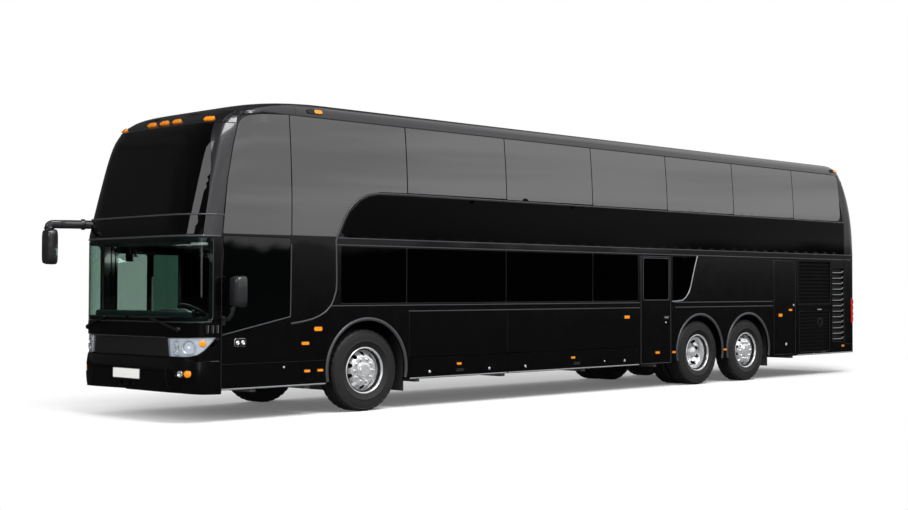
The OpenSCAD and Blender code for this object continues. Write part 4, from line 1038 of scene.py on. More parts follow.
def tyre(name, x, y, side, segments=144):
    """A tyre lathed from its section, with four grooves round it and sipes across its shoulders."""
    wall = [(SEAT_R - 0.004, 0.118), (SEAT_R + 0.020, 0.134), (0.330, 0.146), (0.372, 0.154),
        (0.378, 0.158), (0.384, 0.1555), (0.420, 0.1565), (0.455, 0.153), (0.492, 0.144), (0.498, 0.147),
        (0.505, 0.141), (0.520, 0.131), (TYRE_R - 0.002, 0.120)]
    tread = []
    for a, b in ((0.117, 0.082), (0.070, 0.036), (0.024, -0.024), (-0.036, -0.070), (-0.082, -0.117)):
        tread += [(TYRE_R, a), (TYRE_R, b), (TYRE_R - 0.012, b - 0.002), (TYRE_R - 0.012, b - 0.010)]
    tread = tread[:-2]
    back = [(r, -u) for r, u in wall[::-1]]
    inner = [(SEAT_R - 0.02, -0.118), (SEAT_R - 0.02, 0.118)]
    profile = wall + tread + back + inner
    obj = lathe(name, profile, tyre_rubber, (x, y, TYRE_R), side, segments, 30)
    m = len(profile)
    co = np.array([v.co for v in obj.data.vertices]).reshape(segments, m, 3)
    dy, dz = co[..., 1] - y, co[..., 2] - TYRE_R
    r = np.hypot(dy, dz)
    shoulder = (abs(co[..., 0] - x) > 0.078) & (r > 0.515)
    sipe = (np.arange(segments) % 4 == 0)[:, None] & shoulder
    scale = np.where(sipe, (r - 0.008) / r, 1.0)
    co[..., 1], co[..., 2] = y + dy * scale, TYRE_R + dz * scale
    obj.data.vertices.foreach_set("co", co.reshape(-1))
    obj.data.update()
    return obj


def disc(name, x, y, side, outline, material, holes=10, hole_r=0.030, hole_at=0.218, centre_r=0.105):
    """A wheel disc whose height over the wheel plane follows the outline (radius, along), with hand holes."""
    radii, along = [p[0] for p in outline], [p[1] for p in outline]

    def chart(a, b):
        """The disc's outer face as (x, y, z), from the distances behind and above its middle."""
        a, b = np.broadcast_arrays(np.asarray(a, float), np.asarray(b, float))
        return np.stack([x + side * np.interp(np.hypot(a, b), radii, along), y + a, TYRE_R + b], -1)

    def circle(ca, cb, r, n):
        """A circle's outline."""
        return [(ca + r * math.cos(t), cb + r * math.sin(t)) for t in np.linspace(0, 2 * math.pi, n,
            endpoint=False)]

    cuts = [circle(0, 0, centre_r, 40)]
    cuts += [circle(hole_at * math.cos(t), hole_at * math.sin(t), hole_r, 16)
        for t in np.linspace(0, 2 * math.pi, holes, endpoint=False) + 0.31]
    flat, faces = cut(circle(0, 0, radii[-1], 80), cuts, 0.016)
    outer = chart(flat[:, 0], flat[:, 1])
    inner = outer - np.array([side * 0.012, 0, 0])
    if side < 0:
        faces = [f[::-1] for f in faces]
    return bevel(slab(name, outer, inner, faces, material, 40), 0.003, 2, 50)


def wheel(x, y, side, deep, bright):
    """One wheel: the rim well, its disc, the hub, the valve and ten nuts on a circle."""
    well = [(0.300, 0.128), (0.303, 0.133), (0.303, 0.139), (0.296, 0.143), (0.288, 0.139), (0.283, 0.130),
        (0.281, 0.115), (0.268, 0.100), (0.264, 0.060), (0.258, 0.020), (0.258, -0.060), (0.281, -0.112),
        (0.284, -0.135), (0.300, -0.143), (0.305, -0.137), (0.292, -0.128), (0.292, -0.110),
        (0.272, -0.058), (0.272, 0.055), (0.290, 0.100), (0.290, 0.128)]
    pieces = [lathe("well", well, bright, (x, y, TYRE_R), side, 96)]
    if deep:
        shape = [(0.095, -0.094), (0.185, -0.094), (0.205, -0.082), (0.235, -0.030), (0.252, 0.0),
            (0.262, 0.004)]
        seat = -0.094
        hub = [(0.108, -0.15), (0.108, -0.078), (0.102, -0.070), (0.098, 0.030), (0.090, 0.042),
            (0.060, 0.052), (0.001, 0.056)]
    else:
        shape = [(0.095, 0.118), (0.185, 0.118), (0.196, 0.112), (0.222, 0.082), (0.246, 0.040),
            (0.262, 0.022)]
        seat = 0.118
        hub = [(0.108, 0.06), (0.108, 0.130), (0.100, 0.138), (0.078, 0.141), (0.072, 0.150),
            (0.064, 0.156), (0.030, 0.160), (0.001, 0.161)]
    pieces.append(disc("disc", x, y, side, shape, bright))
    hub = [(r, min(u, 0.150)) for r, u in hub]
    pieces.append(turned("hub", hub, bright, (x, y, TYRE_R), (side, 0, 0), 48))
    for t in np.linspace(0, 2 * math.pi, 10, endpoint=False):
        p = (x + side * seat, y + NUT_R * math.cos(t), TYRE_R + NUT_R * math.sin(t))
        pieces.append(turned("washer", [(0.021, -0.002), (0.021, 0.005), (0.001, 0.005)], chrome, p,
            (side, 0, 0), 16))
        nut = [(0.0165, 0.0), (0.0165, 0.020), (0.013, 0.024), (0.008, 0.024), (0.008, 0.030),
            (0.001, 0.031)]
        pieces.append(turned("nut", nut, chrome, p, (side, 0, 0), 6))
    p = (x + side * 0.140, y + 0.27 * math.cos(1.2), TYRE_R + 0.27 * math.sin(1.2))
    pieces.append(turned("valve", [(0.004, -0.03), (0.004, 0.004), (0.001, 0.006)], chrome, p,
        (side, 0.0, 0.0), 10))
    return pieces


for axle, d in WHEELS.items():
    for side, label in ((LEFT, "left"), (RIGHT, "right")):
        y, x = AXLE_Y + d, side * WHEEL_X
        rides = f"{axle}_{label}_wheel"
        rubber_parts = [tyre("tyre", x, y, side)]
        metal = wheel(x, y, side, axle == "drive", aluminium)
        if axle == "drive":
            rubber_parts.append(tyre("tyre_inner", side * TWIN_X, y, side, 96))
            metal += [lathe("inner_well", [(0.300, 0.128), (0.303, 0.139), (0.290, 0.141), (0.281, 0.115),
                (0.262, 0.10), (0.258, -0.06), (0.284, -0.135), (0.300, -0.143), (0.292, -0.110),
                (0.272, -0.058), (0.272, 0.055), (0.290, 0.100)], steel_rim, (side * TWIN_X, y, TYRE_R),
                side, 64)]
            metal.append(disc("inner_disc", side * TWIN_X, y, side,
                [(0.105, 0.145), (0.185, 0.145), (0.262, 0.06)], steel_rim))
        kind = "tyres" if axle == "drive" else "tyre"
        place(joined(f"{axle}_{label}_tyre_skin", rubber_parts), rides, "tyre_rubber",
            f"{axle}_{label}_{kind}")
        place(joined(f"{axle}_{label}_wheel_face", metal), rides, "wheel_aluminium", f"{axle}_{label}_rim")

# ---------------------------------------------------------------- side trims
# Grey half-round trims: over the belt, down behind the driver in an S, round the lower glass, over the
# arches, along the sill, and on the edges of the driver's and the quarter window. Each row of a table is a
# run of trims of one kind: its lines, width, height, finish and the step between its points.
def trims(chart, rows):
    """The trims that the rows of a table list."""
    return [strip("trim", chart, line, width, height, material, step=step)
        for lines, width, height, material, step in rows for line in lines]


def level(z, *ends):
    """Level lines at one height, between pairs of ends."""
    return [[(a, z), (b, z)] for a, b in ends]


for side, chart, label in SIDES:
    left = side == LEFT
    waist_end = 5.44 if left else 6.92
    sills = [(0.71, 2.515), (2.545, 5.425), (9.86, 11.44)] + ([(-2.18, -0.675)] if left else [])
    rows = [([S_CURVE if left else S_CURVE[9:]], 0.024, 0.007, satin_trim, 0.08),
        (level(BELT_TRIMS[0], (-0.482, TAIL_SEAM)) + level(BELT_TRIMS[1], (-0.500, TAIL_SEAM)), 0.018,
        0.008, satin_trim, 0.2), (level(1.372, (-0.60, waist_end), (6.34, 9.085)), 0.016, 0.007, satin_trim,
        0.2), (level(1.292, (0.69, waist_end), (6.34, 9.085)), 0.016, 0.007, satin_trim, 0.2),
        (level(SILL_TRIM, *sills), 0.022, 0.008, bright_trim, 0.2),
        ([arch(WHEELS["front"], ARCH_Z, 0.650, -12, 192, 40)], 0.046, 0.014, satin_trim, 0.08),
        ([arch(WHEELS[name], ARCH_Z, REAR_ARCH + 0.013, -12, 192, 40) for name in ("drive", "tag")], 0.046,
        0.014, satin_trim, 0.08), ([[(-2.186, 0.345), (-2.186, 2.21)]], 0.010, 0.003, rubber, 0.2),
        ([[(0.70, 0.68), (0.70, 1.285)], [(2.53, 0.69), (2.53, 1.285)]], 0.006, 0.0012, rubber, 0.05),
        ([[(TAIL_SEAM, 0.39), (TAIL_SEAM, 3.735)]], 0.008, 0.002, rubber, 0.1)]
    if left:
        foot = [(-2.172, 1.040), (-1.205, 1.244), (-1.195, 2.140)]
        quarter = [(6.262, 1.388), (6.40, 1.392), (6.531, 1.405), (6.62, 1.455), (6.692, 1.524),
            (6.74, 1.61), (6.778, 1.718), (6.85, 1.93), (6.930, 2.145)]
        rows += [([foot], 0.016, 0.006, satin_trim, 0.05), ([quarter], 0.022, 0.008, bright_trim, 0.05),
            ([[(-0.657, 0.66), (-0.657, 0.395)]], 0.008, 0.002, rubber, 0.05),
            (level(0.690, (-2.18, -0.66)), 0.006, 0.0012, rubber, 0.2)]
    place(joined(f"{label}_side_trims", trims(chart, rows)), "body", "trim_satin")

# ---------------------------------------------------------------- doors and flaps
# Every leaf is the body surface cut a little smaller than its opening, with its locks, pulls and lamps.
def leaf(name, chart, outline, holes=(), extras=()):
    """A leaf of the body's surface, joined with the small parts that move with it."""
    pieces = [shell(name, chart, outline, black_paint, (0.0, 0.055), holes, step=0.25, edge=0.004)]
    return joined(name, pieces + list(extras))


def leaf_rim(ends, top, r):
    """A leaf's outline from the sill up to its top, smaller than the opening by the inset."""
    return rect(ends[0] + INSET, SILL - 0.003, ends[1] - INSET, top - INSET, r)


def oval(chart, d, z, w, h, material, proud=0.010):
    """An oval lamp: a lens of the given size on a wider dark base."""
    return [shell("lens", chart, rect(d - w / 2, z - h / 2, d + w / 2, z + h / 2, h * 0.35), material,
        (-proud, 0.002), step=0.05, edge=0.004), shell("base", chart,
        rect(d - w / 2 - 0.008, z - h / 2 - 0.008, d + w / 2 + 0.008, z + h / 2 + 0.008, h * 0.4),
        dark_plastic, (-0.003, 0.002), step=0.08, edge=0)]


def lock(chart, d, z, r=0.016):
    """A round lock with its key slot, as a list of one piece."""
    return [stud("lock", chart, d, z, [(r * 1.25, -0.004), (r * 1.25, 0.003), (r, 0.006), (r * 0.4, 0.006),
        (r * 0.35, 0.002), (0.001, 0.002)], chrome, 0.0, 24)]


for side, chart, label in SIDES:
    for (a, b), bay in zip(BAYS, ("front_flap", "rear_flap")):
        mid = (a + b) / 2
        extras = lock(chart, a + 0.35, 0.470) + lock(chart, b - 0.35, 0.470)
        extras.append(shell("pull", chart, rect(mid - 0.07, 0.452, mid + 0.07, 0.492, 0.015), rubber,
            (-0.001, 0.003), step=0.1, edge=0))
        flap = leaf(f"{label}_{bay}_skin", chart, leaf_rim((a, b), FLAP_TOP, 0.006), (), extras)
        place(flap, f"{label}_{bay}", "body_paint", f"{label}_{bay}")
    a, b = LUGGAGE
    extras = lock(chart, 9.509, 0.60, 0.02) + lock(chart, 9.75, 1.30)
    extras += oval(chart, 9.324, 1.124, 0.11, 0.05, amber_lens) + oval(chart, 9.640, 1.215, 0.10, 0.032,
        amber_lens)
    extras.append(strip("door_edge", chart, [(a + 0.03, 0.42), (a + 0.03, 2.10), (b - 0.03, 2.10),
        (b - 0.03, 0.42)], 0.006, 0.0015, satin_trim, closed=True, step=0.2))
    door = leaf(f"{label}_luggage_door_skin", chart, leaf_rim(LUGGAGE, DOOR_TOP, 0.010), (), extras)
    place(door, f"{label}_luggage_door", "body_paint", f"{label}_luggage_door")

a, b = EMERGENCY
window = rect(5.533, 1.412, 6.180, 2.085, 0.035)
# the emergency window's opaque near-black is partly tint and partly painted shade
extras = [shell("emergency_glass", on_side, rect(5.540, 1.419, 6.173, 2.078, 0.03), lower_glass_tint_and_shade,
    (0.002, 0.010), step=0.2, edge=0.002), strip("window_edge", on_side, window, 0.014, 0.005, satin_trim,
    closed=True, step=0.1), strip("door_edge", on_side, rect(a + 0.016, 0.40, b - 0.016, 2.112, 0.012),
    0.010, 0.004, satin_trim, closed=True, step=0.15)]
extras += [shell("handle_well", on_side, rect(6.045, 1.10, 6.165, 1.16, 0.02), dark_plastic,
    (-0.003, 0.006), step=0.1)]
extras += [swept("handle", [on_skin(on_side, d, 1.13, -0.012) for d in np.linspace(6.06, 6.15, 6)],
    bar(0.008, -0.004, 0.004), chrome)]
extras += lock(on_side, 6.10, 1.05, 0.012) + oval(on_side, 5.882, 0.569, 0.10, 0.036, amber_lens)
door = leaf("emergency_door_skin", on_side, leaf_rim(EMERGENCY, DOOR_TOP, 0.010), [window], extras)
place(door, "emergency_door", "body_paint", "emergency_door")


# grilles: dark wells crossed by rows of small rounded squares, the dark of the wells a back sheet of painted
# shade
def grille(chart, a, z0, b, z1, pitch=0.062, depth=0.012, round_hole=None):
    """A lattice with its rubber edge and a dark back sheet of painted shade; no square opens near the round
    hole (d, z, radius).
    """
    nx, nz = int((b - a) / pitch), int((z1 - z0) / pitch)
    px, pz = (b - a) / nx, (z1 - z0) / nz
    holes = []
    for i in range(nx):
        for j in range(nz):
            cx, cz = a + px * (i + 0.5), z0 + pz * (j + 0.5)
            if round_hole and math.hypot(cx - round_hole[0], cz - round_hole[1]) < round_hole[2] + 0.04:
                continue
            holes.append(rect(cx - px * 0.32, cz - pz * 0.30, cx + px * 0.32, cz + pz * 0.30, pz * 0.12, 1))
    made = [shell("lattice", chart, rect(a - 0.004, z0 - 0.004, b + 0.004, z1 + 0.004, 0.03), grille_black,
        (depth, depth + 0.012), holes, step=0.3, edge=0)]
    # the dark back sheet behind the lattice is painted shade
    made.append(shell("lattice_painted_shade_back", chart, rect(a - 0.004, z0 - 0.004, b + 0.004, z1 + 0.004, 0.03),
        grille_black, (depth + 0.02, depth + 0.03), step=0.3, edge=0))
    made.append(strip("grille_edge", chart, rect(a, z0, b, z1, 0.04), 0.010, 0.004, rubber, closed=True,
        step=0.1))
    return made


well = rect(9.915, 0.430, 10.945, 1.195, 0.05)
extras = grille(on_side, 9.925, 0.440, 10.935, 1.185, round_hole=(10.62, 0.98, 0.07))
extras.append(stud("cap_ring", on_side, 10.62, 0.98, [(0.078, -0.006), (0.078, 0.010), (0.066, 0.012),
    (0.060, -0.004), (0.001, -0.004)], dark_plastic, 0.012))
extras += lock(on_side, 10.40, 0.405, 0.01)
extras.append(shell("pull", on_side, rect(10.52, 1.205, 10.66, 1.225, 0.006), chrome, (-0.006, 0.0),
    step=0.1, edge=0.002))
door = leaf("radiator_door_skin", on_side, leaf_rim(RADIATOR, RADIATOR_TOP, 0.012), [well], extras)
place(door, "radiator_door", "black_plastic", "radiator_door")

for side, chart, label in SIDES:
    pieces = grille(chart, 9.895, 1.320, 10.970, 2.105)
    # louvres: thirteen tilted slats in a tall opening, each with a painted highlight, a bright strip along
    # its upper edge
    # the dark sheet behind the louvres is painted shade
    pieces.append(shell("louvre_painted_shade_back", chart, LOUVRES, rubber, (0.042, 0.05), step=0.3, edge=0))
    for k in range(13):
        z = 0.655 + k * 0.104
        line = [inward(chart, np.array([d]), np.array([z]), 0.020)[0]
            for d in np.linspace(11.036, 11.424, 5)]
        out = [on_skin(chart, d, z)[1] + np.array([0, 0, -0.75]) for d in np.linspace(11.036, 11.424, 5)]
        pieces.append(swept("slat", list(zip(line, out)), bar(0.004, -0.036, 0.026), grille_black))
        # the bright strip on each slat's upper edge is a painted highlight
        pieces.append(strip("slat_painted_highlight", chart, [(11.050, z - 0.002), (11.350, z - 0.002),
            (11.405, z + 0.030)], 0.016, 0.004, bright_trim, step=0.2))
    pieces.append(strip("louvre_edge", chart, rect(11.028, 0.598, 11.432, 1.992, 0.02), 0.010, 0.004,
        rubber, closed=True, step=0.15))
    place(joined(f"{label}_grilles", pieces), "body", "black_plastic")

# ---------------------------------------------------------------- lamps, latch and small parts of the sides
for side, chart, label in SIDES:
    pieces = []
    amber = [(-0.955, 0.565), (-0.755, 0.566), (1.594, 0.560), (3.896, 0.560), (5.882, 0.569),
        (6.300, 0.563), (7.680, 0.563), (11.384, 0.520)]
    if side == RIGHT:
        amber = [p for p in amber if p[0] > 0]
    for d, z in amber:
        if EMERGENCY[0] < d < EMERGENCY[1] and side == LEFT:
            continue
        pieces += oval(chart, d, z, 0.085, 0.030, amber_lens, 0.008)
    if side == LEFT:
        pieces += oval(chart, -0.984, 0.910, 0.11, 0.036, amber_lens)
        pieces += oval(chart, -0.790, 1.086, 0.12, 0.050, amber_lens)
        pieces += oval(chart, 5.133, 1.150, 0.12, 0.045, amber_lens)
    for d in (-0.80, 11.20):
        pieces.append(shell("marker_base", chart, rect(d - 0.12, 3.795, d + 0.12, 3.850, 0.025), rubber,
            (-0.012, 0.004), step=0.04, edge=0.004))
        pieces.append(shell("marker_lens", chart, rect(d - 0.01, 3.800, d + 0.11, 3.845, 0.02), amber_lens,
            (-0.018, 0.004), step=0.04, edge=0.004))
    place(joined(f"{label}_side_lamps", pieces), "body", "lamp_amber")

plate = [shell("latch_plate", on_side, rect(-2.005, 0.898, -1.842, 0.992, 0.02), dark_plastic,
    (-0.006, 0.002), step=0.1, edge=0.003)]
for d in (-1.965, -1.890):
    plate.append(stud("latch", on_side, d, 0.945, [(0.026, -0.002), (0.026, 0.004), (0.020, 0.010),
        (0.014, 0.006), (0.008, 0.010), (0.001, 0.012)], chrome, -0.006, 28))
plate.append(strip("latch_edge", on_side, rect(-2.005, 0.898, -1.842, 0.992, 0.02), 0.006, 0.004, chrome,
    closed=True))
plate += lock(on_side, -1.298, 0.625, 0.012) + lock(on_side, 4.608, 0.480, 0.010)
place(joined("driver_latch", plate), "body", "chrome")


# ---------------------------------------------------------------- mirrors
# Moulded housings lofted from rounded squares, on square arms; the glass faces the rear.
def loft(name, sections, material, n=40, power=5.0):
    """A closed body through superellipse sections (centre, half width, half height), listed along Y."""
    a = np.linspace(0, 2 * math.pi, n, endpoint=False)
    c, s = np.cos(a), np.sin(a)
    rings = [np.stack([cx + w * np.sign(c) * abs(c) ** (2 / power), cy + 0 * a, cz + h * np.sign(s)
        * abs(s) ** (2 / power)], -1) for (cx, cy, cz), w, h in sections]
    m = len(rings)
    faces = grid_faces(m, n, False, True, True)
    faces += [tuple(range(n)), tuple(range(m * n - 1, (m - 1) * n - 1, -1))]
    return mesh_object(name, np.concatenate(rings), faces, material, sharp=50)


def tube(name, points, radius, material, n=16, power=2.0):
    """A rounded bar along points; power 2 is round and 6 nearly square."""
    a = np.linspace(0, 2 * math.pi, n, endpoint=False)
    profile = [(radius * np.sign(math.cos(t)) * abs(math.cos(t)) ** (2 / power), radius
        * np.sign(math.sin(t)) * abs(math.sin(t)) ** (2 / power)) for t in a]
    points = np.array(points, float)
    ahead = np.gradient(points, axis=0)
    guide = np.array([0, 0, 1.0]) if abs(ahead[:, 2]).max() < 0.8 * np.linalg.norm(ahead,
        axis=1).max() else np.array([0, 1.0, 0])
    return swept(name, [(p, guide) for p in points], profile, material)


def eased(points, count=12):
    """A smooth run through corner points by a Catmull-Rom spline."""
    p = np.array(points, float)
    p = np.vstack([2 * p[0] - p[1], p, 2 * p[-1] - p[-2]])
    run = []
    for i in range(1, len(p) - 2):
        for t in np.linspace(0, 1, count, endpoint=False):
            run.append(0.5 * (2 * p[i] + (p[i + 1] - p[i - 1]) * t + (2 * p[i - 1] - 5 * p[i] + 4 * p[i + 1]
                - p[i + 2]) * t * t + (3 * p[i] - p[i - 1] - 3 * p[i + 1] + p[i + 2]) * t ** 3))
    return np.array(run + [p[-2]])


x0, y0 = 1.505, AXLE_Y - 2.180
head = [((x0, y0 + 0.000, 1.555), 0.050, 0.120), ((x0, y0 + 0.018, 1.555), 0.078, 0.168),
    ((x0, y0 + 0.060, 1.555), 0.088, 0.183), ((x0, y0 + 0.130, 1.555), 0.092, 0.186),
    ((x0, y0 + 0.150, 1.555), 0.088, 0.183)]
left_mirror = [loft("housing", head, mirror_shell), loft("glass", [((x0, y0 + 0.148, 1.555), 0.080, 0.174),
    ((x0, y0 + 0.153, 1.555), 0.080, 0.174)], mirror_glass)]
left_mirror += [tube("arm", eased([(1.29, AXLE_Y - 2.171, 1.225), (1.36, AXLE_Y - 2.171, 1.225),
    (1.42, AXLE_Y - 2.168, 1.235), (1.455, AXLE_Y - 2.150, 1.29), (1.470, AXLE_Y - 2.125, 1.385)]), 0.019,
    mirror_shell, 16, 3.5), block("foot", (1.288, AXLE_Y - 2.190, 1.155), (1.325, AXLE_Y - 2.150, 1.262),
    mirror_shell, 0.008), turned("collar", [(0.030, -0.016), (0.030, 0.016), (0.022, 0.022),
    (0.001, 0.023)], mirror_shell, (1.462, AXLE_Y - 2.140, 1.345), (0.1, 0.15, 1), 24)]
place(joined("left_mirror_skin", left_mirror), "body", "black_plastic", "left_mirror")

x0, y0 = -1.460, AXLE_Y - 3.000
head = [((x0, y0 + 0.000, 2.125), 0.070, 0.170), ((x0, y0 + 0.014, 2.125), 0.098, 0.212),
    ((x0, y0 + 0.050, 2.125), 0.108, 0.223), ((x0, y0 + 0.110, 2.125), 0.109, 0.225),
    ((x0, y0 + 0.128, 2.125), 0.105, 0.221)]
right_mirror = [loft("housing", head, mirror_shell), loft("glass", [((x0, y0 + 0.126, 2.185), 0.096, 0.150),
    ((x0, y0 + 0.131, 2.185), 0.096, 0.150)], mirror_glass), loft("wide_glass",
    [((x0, y0 + 0.126, 1.970), 0.096, 0.056), ((x0, y0 + 0.131, 1.970), 0.090, 0.052)], mirror_glass)]
root = on_front(-front_s(1.18), 2.412)
right_mirror += [tube("arm", eased([tuple(root + np.array([0.06, 0.05, 0])),
    tuple(root + np.array([-0.03, -0.06, 0])), (-1.395, AXLE_Y - 2.78, 2.415),
    (-1.447, AXLE_Y - 2.925, 2.405), (-1.455, AXLE_Y - 2.945, 2.330)], 10), 0.055, mirror_shell, 24, 3.5),
    turned("sleeve", [(0.070, -0.02), (0.070, 0.02), (0.062, 0.026), (0.056, 0.026)], mirror_shell,
    tuple(root + np.array([-0.05, -0.11, 0.001])), (0.42, 0.9, 0), 28),
    turned("root_plate", [(0.075, -0.03), (0.075, 0.006), (0.060, 0.014), (0.001, 0.015)], mirror_shell,
    tuple(root), (-0.7, -0.7, 0), 32)]
place(joined("right_mirror_skin", right_mirror), "body", "black_plastic", "right_mirror")

# ---------------------------------------------------------------- entry door
# A plug-like leaf with two tall panes, on links that hold the ends of the two arms.
ARM_LEAD, ARM_LENGTH = math.radians(5), 0.700
a, b = ENTRY
panes = [rect(a + 0.030, 0.80, -1.650, 2.060, 0.05), rect(-1.590, 0.80, b - 0.045, 2.060, 0.05)]
pieces = [shell("entry_leaf", on_right, rect(a + INSET, SILL + 0.012, b - INSET, DOOR_TOP - INSET, 0.012),
    black_paint, (0.0, 0.055), panes, step=0.2, edge=0.004)]
for pane, glass in zip(panes, (clear_door, dark_door)):
    pieces.append(shell("entry_glass", on_right, pane, glass, (0.008, 0.014), step=0.2, edge=0))
    pieces.append(strip("entry_edge", on_right, pane, 0.016, 0.004, rubber, closed=True, step=0.15))
pieces += lock(on_right, -1.30, 0.72, 0.016)
pieces += [swept("grab_rail", [((-1.215, AXLE_Y - 1.62, z), (1, 0, 0)) for z in np.linspace(0.95, 1.75, 6)],
    [(0.014 * math.cos(t), 0.014 * math.sin(t)) for t in np.linspace(0, 2 * math.pi, 12, endpoint=False)],
    chrome)]
arm_x, arm_d = 0.160 - HALF + ARM_LENGTH * math.sin(ARM_LEAD), b - 0.130 - ARM_LENGTH * math.cos(ARM_LEAD)
pieces += [block("link", (-1.246, AXLE_Y + arm_d - 0.031, z - 0.011),
    (arm_x + 0.029, AXLE_Y + arm_d + 0.031, z + 0.011), frame_steel, 0.002) for level in (0.640, 2.060)
    for z in (level - 0.045, level + 0.045)]
place(joined("entry_door_skin", pieces), "entry_door", "body_paint", "entry_door")

# ---------------------------------------------------------------- cabin
# The dashboard, the wheel on its column, the seats, the blind and the mirror seen through the front glass.
pieces = []
cowl = [(-1.10, 1.06), (1.14, 1.06), (1.14, 1.325), (-1.10, 1.325)]
pieces.append(shell("cowl", on_front, [(math.copysign(front_s(abs(a)), a), b) for a, b in cowl],
    teal_plastic, (0.085, 0.20), step=0.15, edge=0.03))
pieces.append(block("binnacle", (0.22, AXLE_Y - 2.44, 0.74), (1.12, AXLE_Y - 2.20, 1.125), teal_plastic,
    0.05, 3))
pieces.append(block("binnacle_hood", (0.34, AXLE_Y - 2.47, 1.08), (0.92, AXLE_Y - 2.36, 1.350),
    teal_plastic, 0.05, 3))
for x in (0.50, 0.63, 0.76):
    pieces.append(turned("dial", [(0.050, -0.01), (0.050, 0.004), (0.044, 0.006), (0.042, 0.0),
        (0.001, 0.0)], chrome, (x, AXLE_Y - 2.338, 1.150), (0, 0.9, 0.4), 32))
pieces.append(block("shelf", (-1.00, AXLE_Y - 2.44, 0.50), (0.20, AXLE_Y - 2.26, 1.09), teal_plastic, 0.04,
    3))
pieces.append(block("guide_desk", (-0.55, AXLE_Y - 2.30, 0.98), (0.10, AXLE_Y - 2.20, 1.085), cabin_plastic,
    0.03, 3))
pieces.append(tube("column", [(0.62, AXLE_Y - 2.165 - 0.14 * t, 1.212 - 0.2425 * t)
    for t in np.linspace(0, 1, 5)], 0.046, cabin_plastic, 20))
place(joined("dashboard_skin", pieces), "body", "interior_plastic", "dashboard")
pieces = [block("cabin_mirror", (-0.50, AXLE_Y - 2.420, 1.930), (-0.34, AXLE_Y - 2.390, 2.030),
    dark_plastic, 0.012), block("cabin_mirror_stem", (-0.425, AXLE_Y - 2.412, 2.020),
    (-0.405, AXLE_Y - 2.398, 2.185), dark_plastic, 0.004), block("sun_blind",
    (-1.00, AXLE_Y - 2.440, 2.120), (1.00, AXLE_Y - 2.410, 2.180), headliner, 0.012)]
place(joined("cabin_mirror_and_blind", pieces), "body", "black_plastic")

axis = Vector((0, 0.5, 0.8660254))
centre = (0.62, AXLE_Y - 2.120, 1.290)
grip = 0.016
profile = [(0.215 + grip * math.cos(t), grip * math.sin(t)) for t in np.linspace(0, 2 * math.pi, 17)]
pieces = [turned("rim", profile, cabin_plastic, centre, axis, 64),
    turned("hub", [(0.001, -0.025), (0.060, -0.018), (0.062, 0.010), (0.045, 0.020), (0.001, 0.022)],
    cabin_plastic, centre, axis, 40), turned("shaft", [(0.001, -0.285), (0.020, -0.285), (0.020, -0.01)],
    frame_steel, centre, axis, 24)]
u = np.array([1.0, 0, 0])
v = np.cross(np.array(axis), u)
for t in (90, 210, 330):
    ray = u * math.cos(math.radians(t)) + v * math.sin(math.radians(t))
    pieces.append(swept("spoke", [(np.array(centre) + ray * r, np.array(axis))
        for r in (0.045, 0.12, 0.208)], bar(0.018, -0.006, 0.007, 0.014), cabin_plastic))
place(joined("steering_wheel_skin", pieces), "steering_wheel", "interior_plastic", "steering_wheel")

fabric, t, out = blank_material("woven_seat_fabric")
where = add(t, "TexCoord")
warp = add(t, "TexWave", [("Vector", where.outputs["Object"])], Scale=160.0, Distortion=1.0)
fleck = add(t, "TexVoronoi", [("Vector", where.outputs["Object"])], Scale=26.0)
tone = add(t, "MapRange", [("Value", fleck.outputs["Distance"])], From_Min=0.1, From_Max=0.5)
mix = add(t, "Mix", [(0, tone.outputs["Result"])], data_type="RGBA")
mix.inputs[6].default_value, mix.inputs[7].default_value = srgb("#39425e"), srgb("#232733")
weave = add(t, "Bump", [("Height", warp.outputs["Fac"])], Strength=0.4, Distance=0.001)
body = add(t, "BsdfPrincipled", [("Base Color", mix.outputs[2]), ("Normal", weave.outputs[0])],
    Roughness=0.95, Sheen_Weight=0.3)
t.links.new(body.outputs[0], out.inputs["Surface"])


def cushion(low, high, lean=0.0, n=10, power=4.0):
    """A superellipsoid cushion between two corners, its top leant back by lean, as points and faces."""
    a, b = np.meshgrid(np.linspace(-math.pi / 2, math.pi / 2, n),
        np.linspace(0, 2 * math.pi, 2 * n, endpoint=False))

    def p(v):
        """A superellipse's power, with the sign kept."""
        return np.sign(v) * abs(v) ** (2 / power)

    unit = np.stack([p(np.cos(a) * np.cos(b)), p(np.cos(a) * np.sin(b)), p(np.sin(a))], -1)
    low, high = np.array(low, float), np.array(high, float)
    points = (low + high) / 2 + unit * (high - low) / 2
    points[..., 1] += lean * (points[..., 2] - low[2])
    return points.reshape(-1, 3), grid_faces(2 * n, n, True, flip=True)


# The driver's seat, then rows of four on each deck, less the places at the stairs on the right
UPPER_DECK, LOWER_DECK, PLATFORM, ACROSS = 2.20, 0.47, 0.70, (-0.94, -0.49, 0.49, 0.94)
spots = [(0.62, -1.56, PLATFORM)]
spots += [(x, -1.75 + 0.86 * i, UPPER_DECK) for i in range(15) for x in ACROSS if x > 0 or i < 3 or i > 5]
spots += [(x, 0.95 + 0.90 * i, LOWER_DECK) for i in range(5) for x in ACROSS if x > 0 or i > 1]
points, faces, legs = [], [], []
for x, d, z in spots:
    y = AXLE_Y + d
    for low, high, lean in (((x - 0.212, y - 0.02, z + 0.36), (x + 0.212, y + 0.40, z + 0.49), 0.0),
            ((x - 0.212, y + 0.335, z + 0.43), (x + 0.212, y + 0.445, z + 1.07), 0.18),
            ((x - 0.13, y + 0.305, z + 0.86), (x + 0.13, y + 0.365, z + 1.02), 0.18)):
        p, f = cushion(low, high, lean)
        faces += [tuple(len(points) + i for i in face) for face in f]
        points += p.tolist()
    legs.append(block("leg", (x - 0.18, y + 0.02, z + 0.002), (x + 0.18, y + 0.37, z + 0.37), cabin_plastic,
        0))
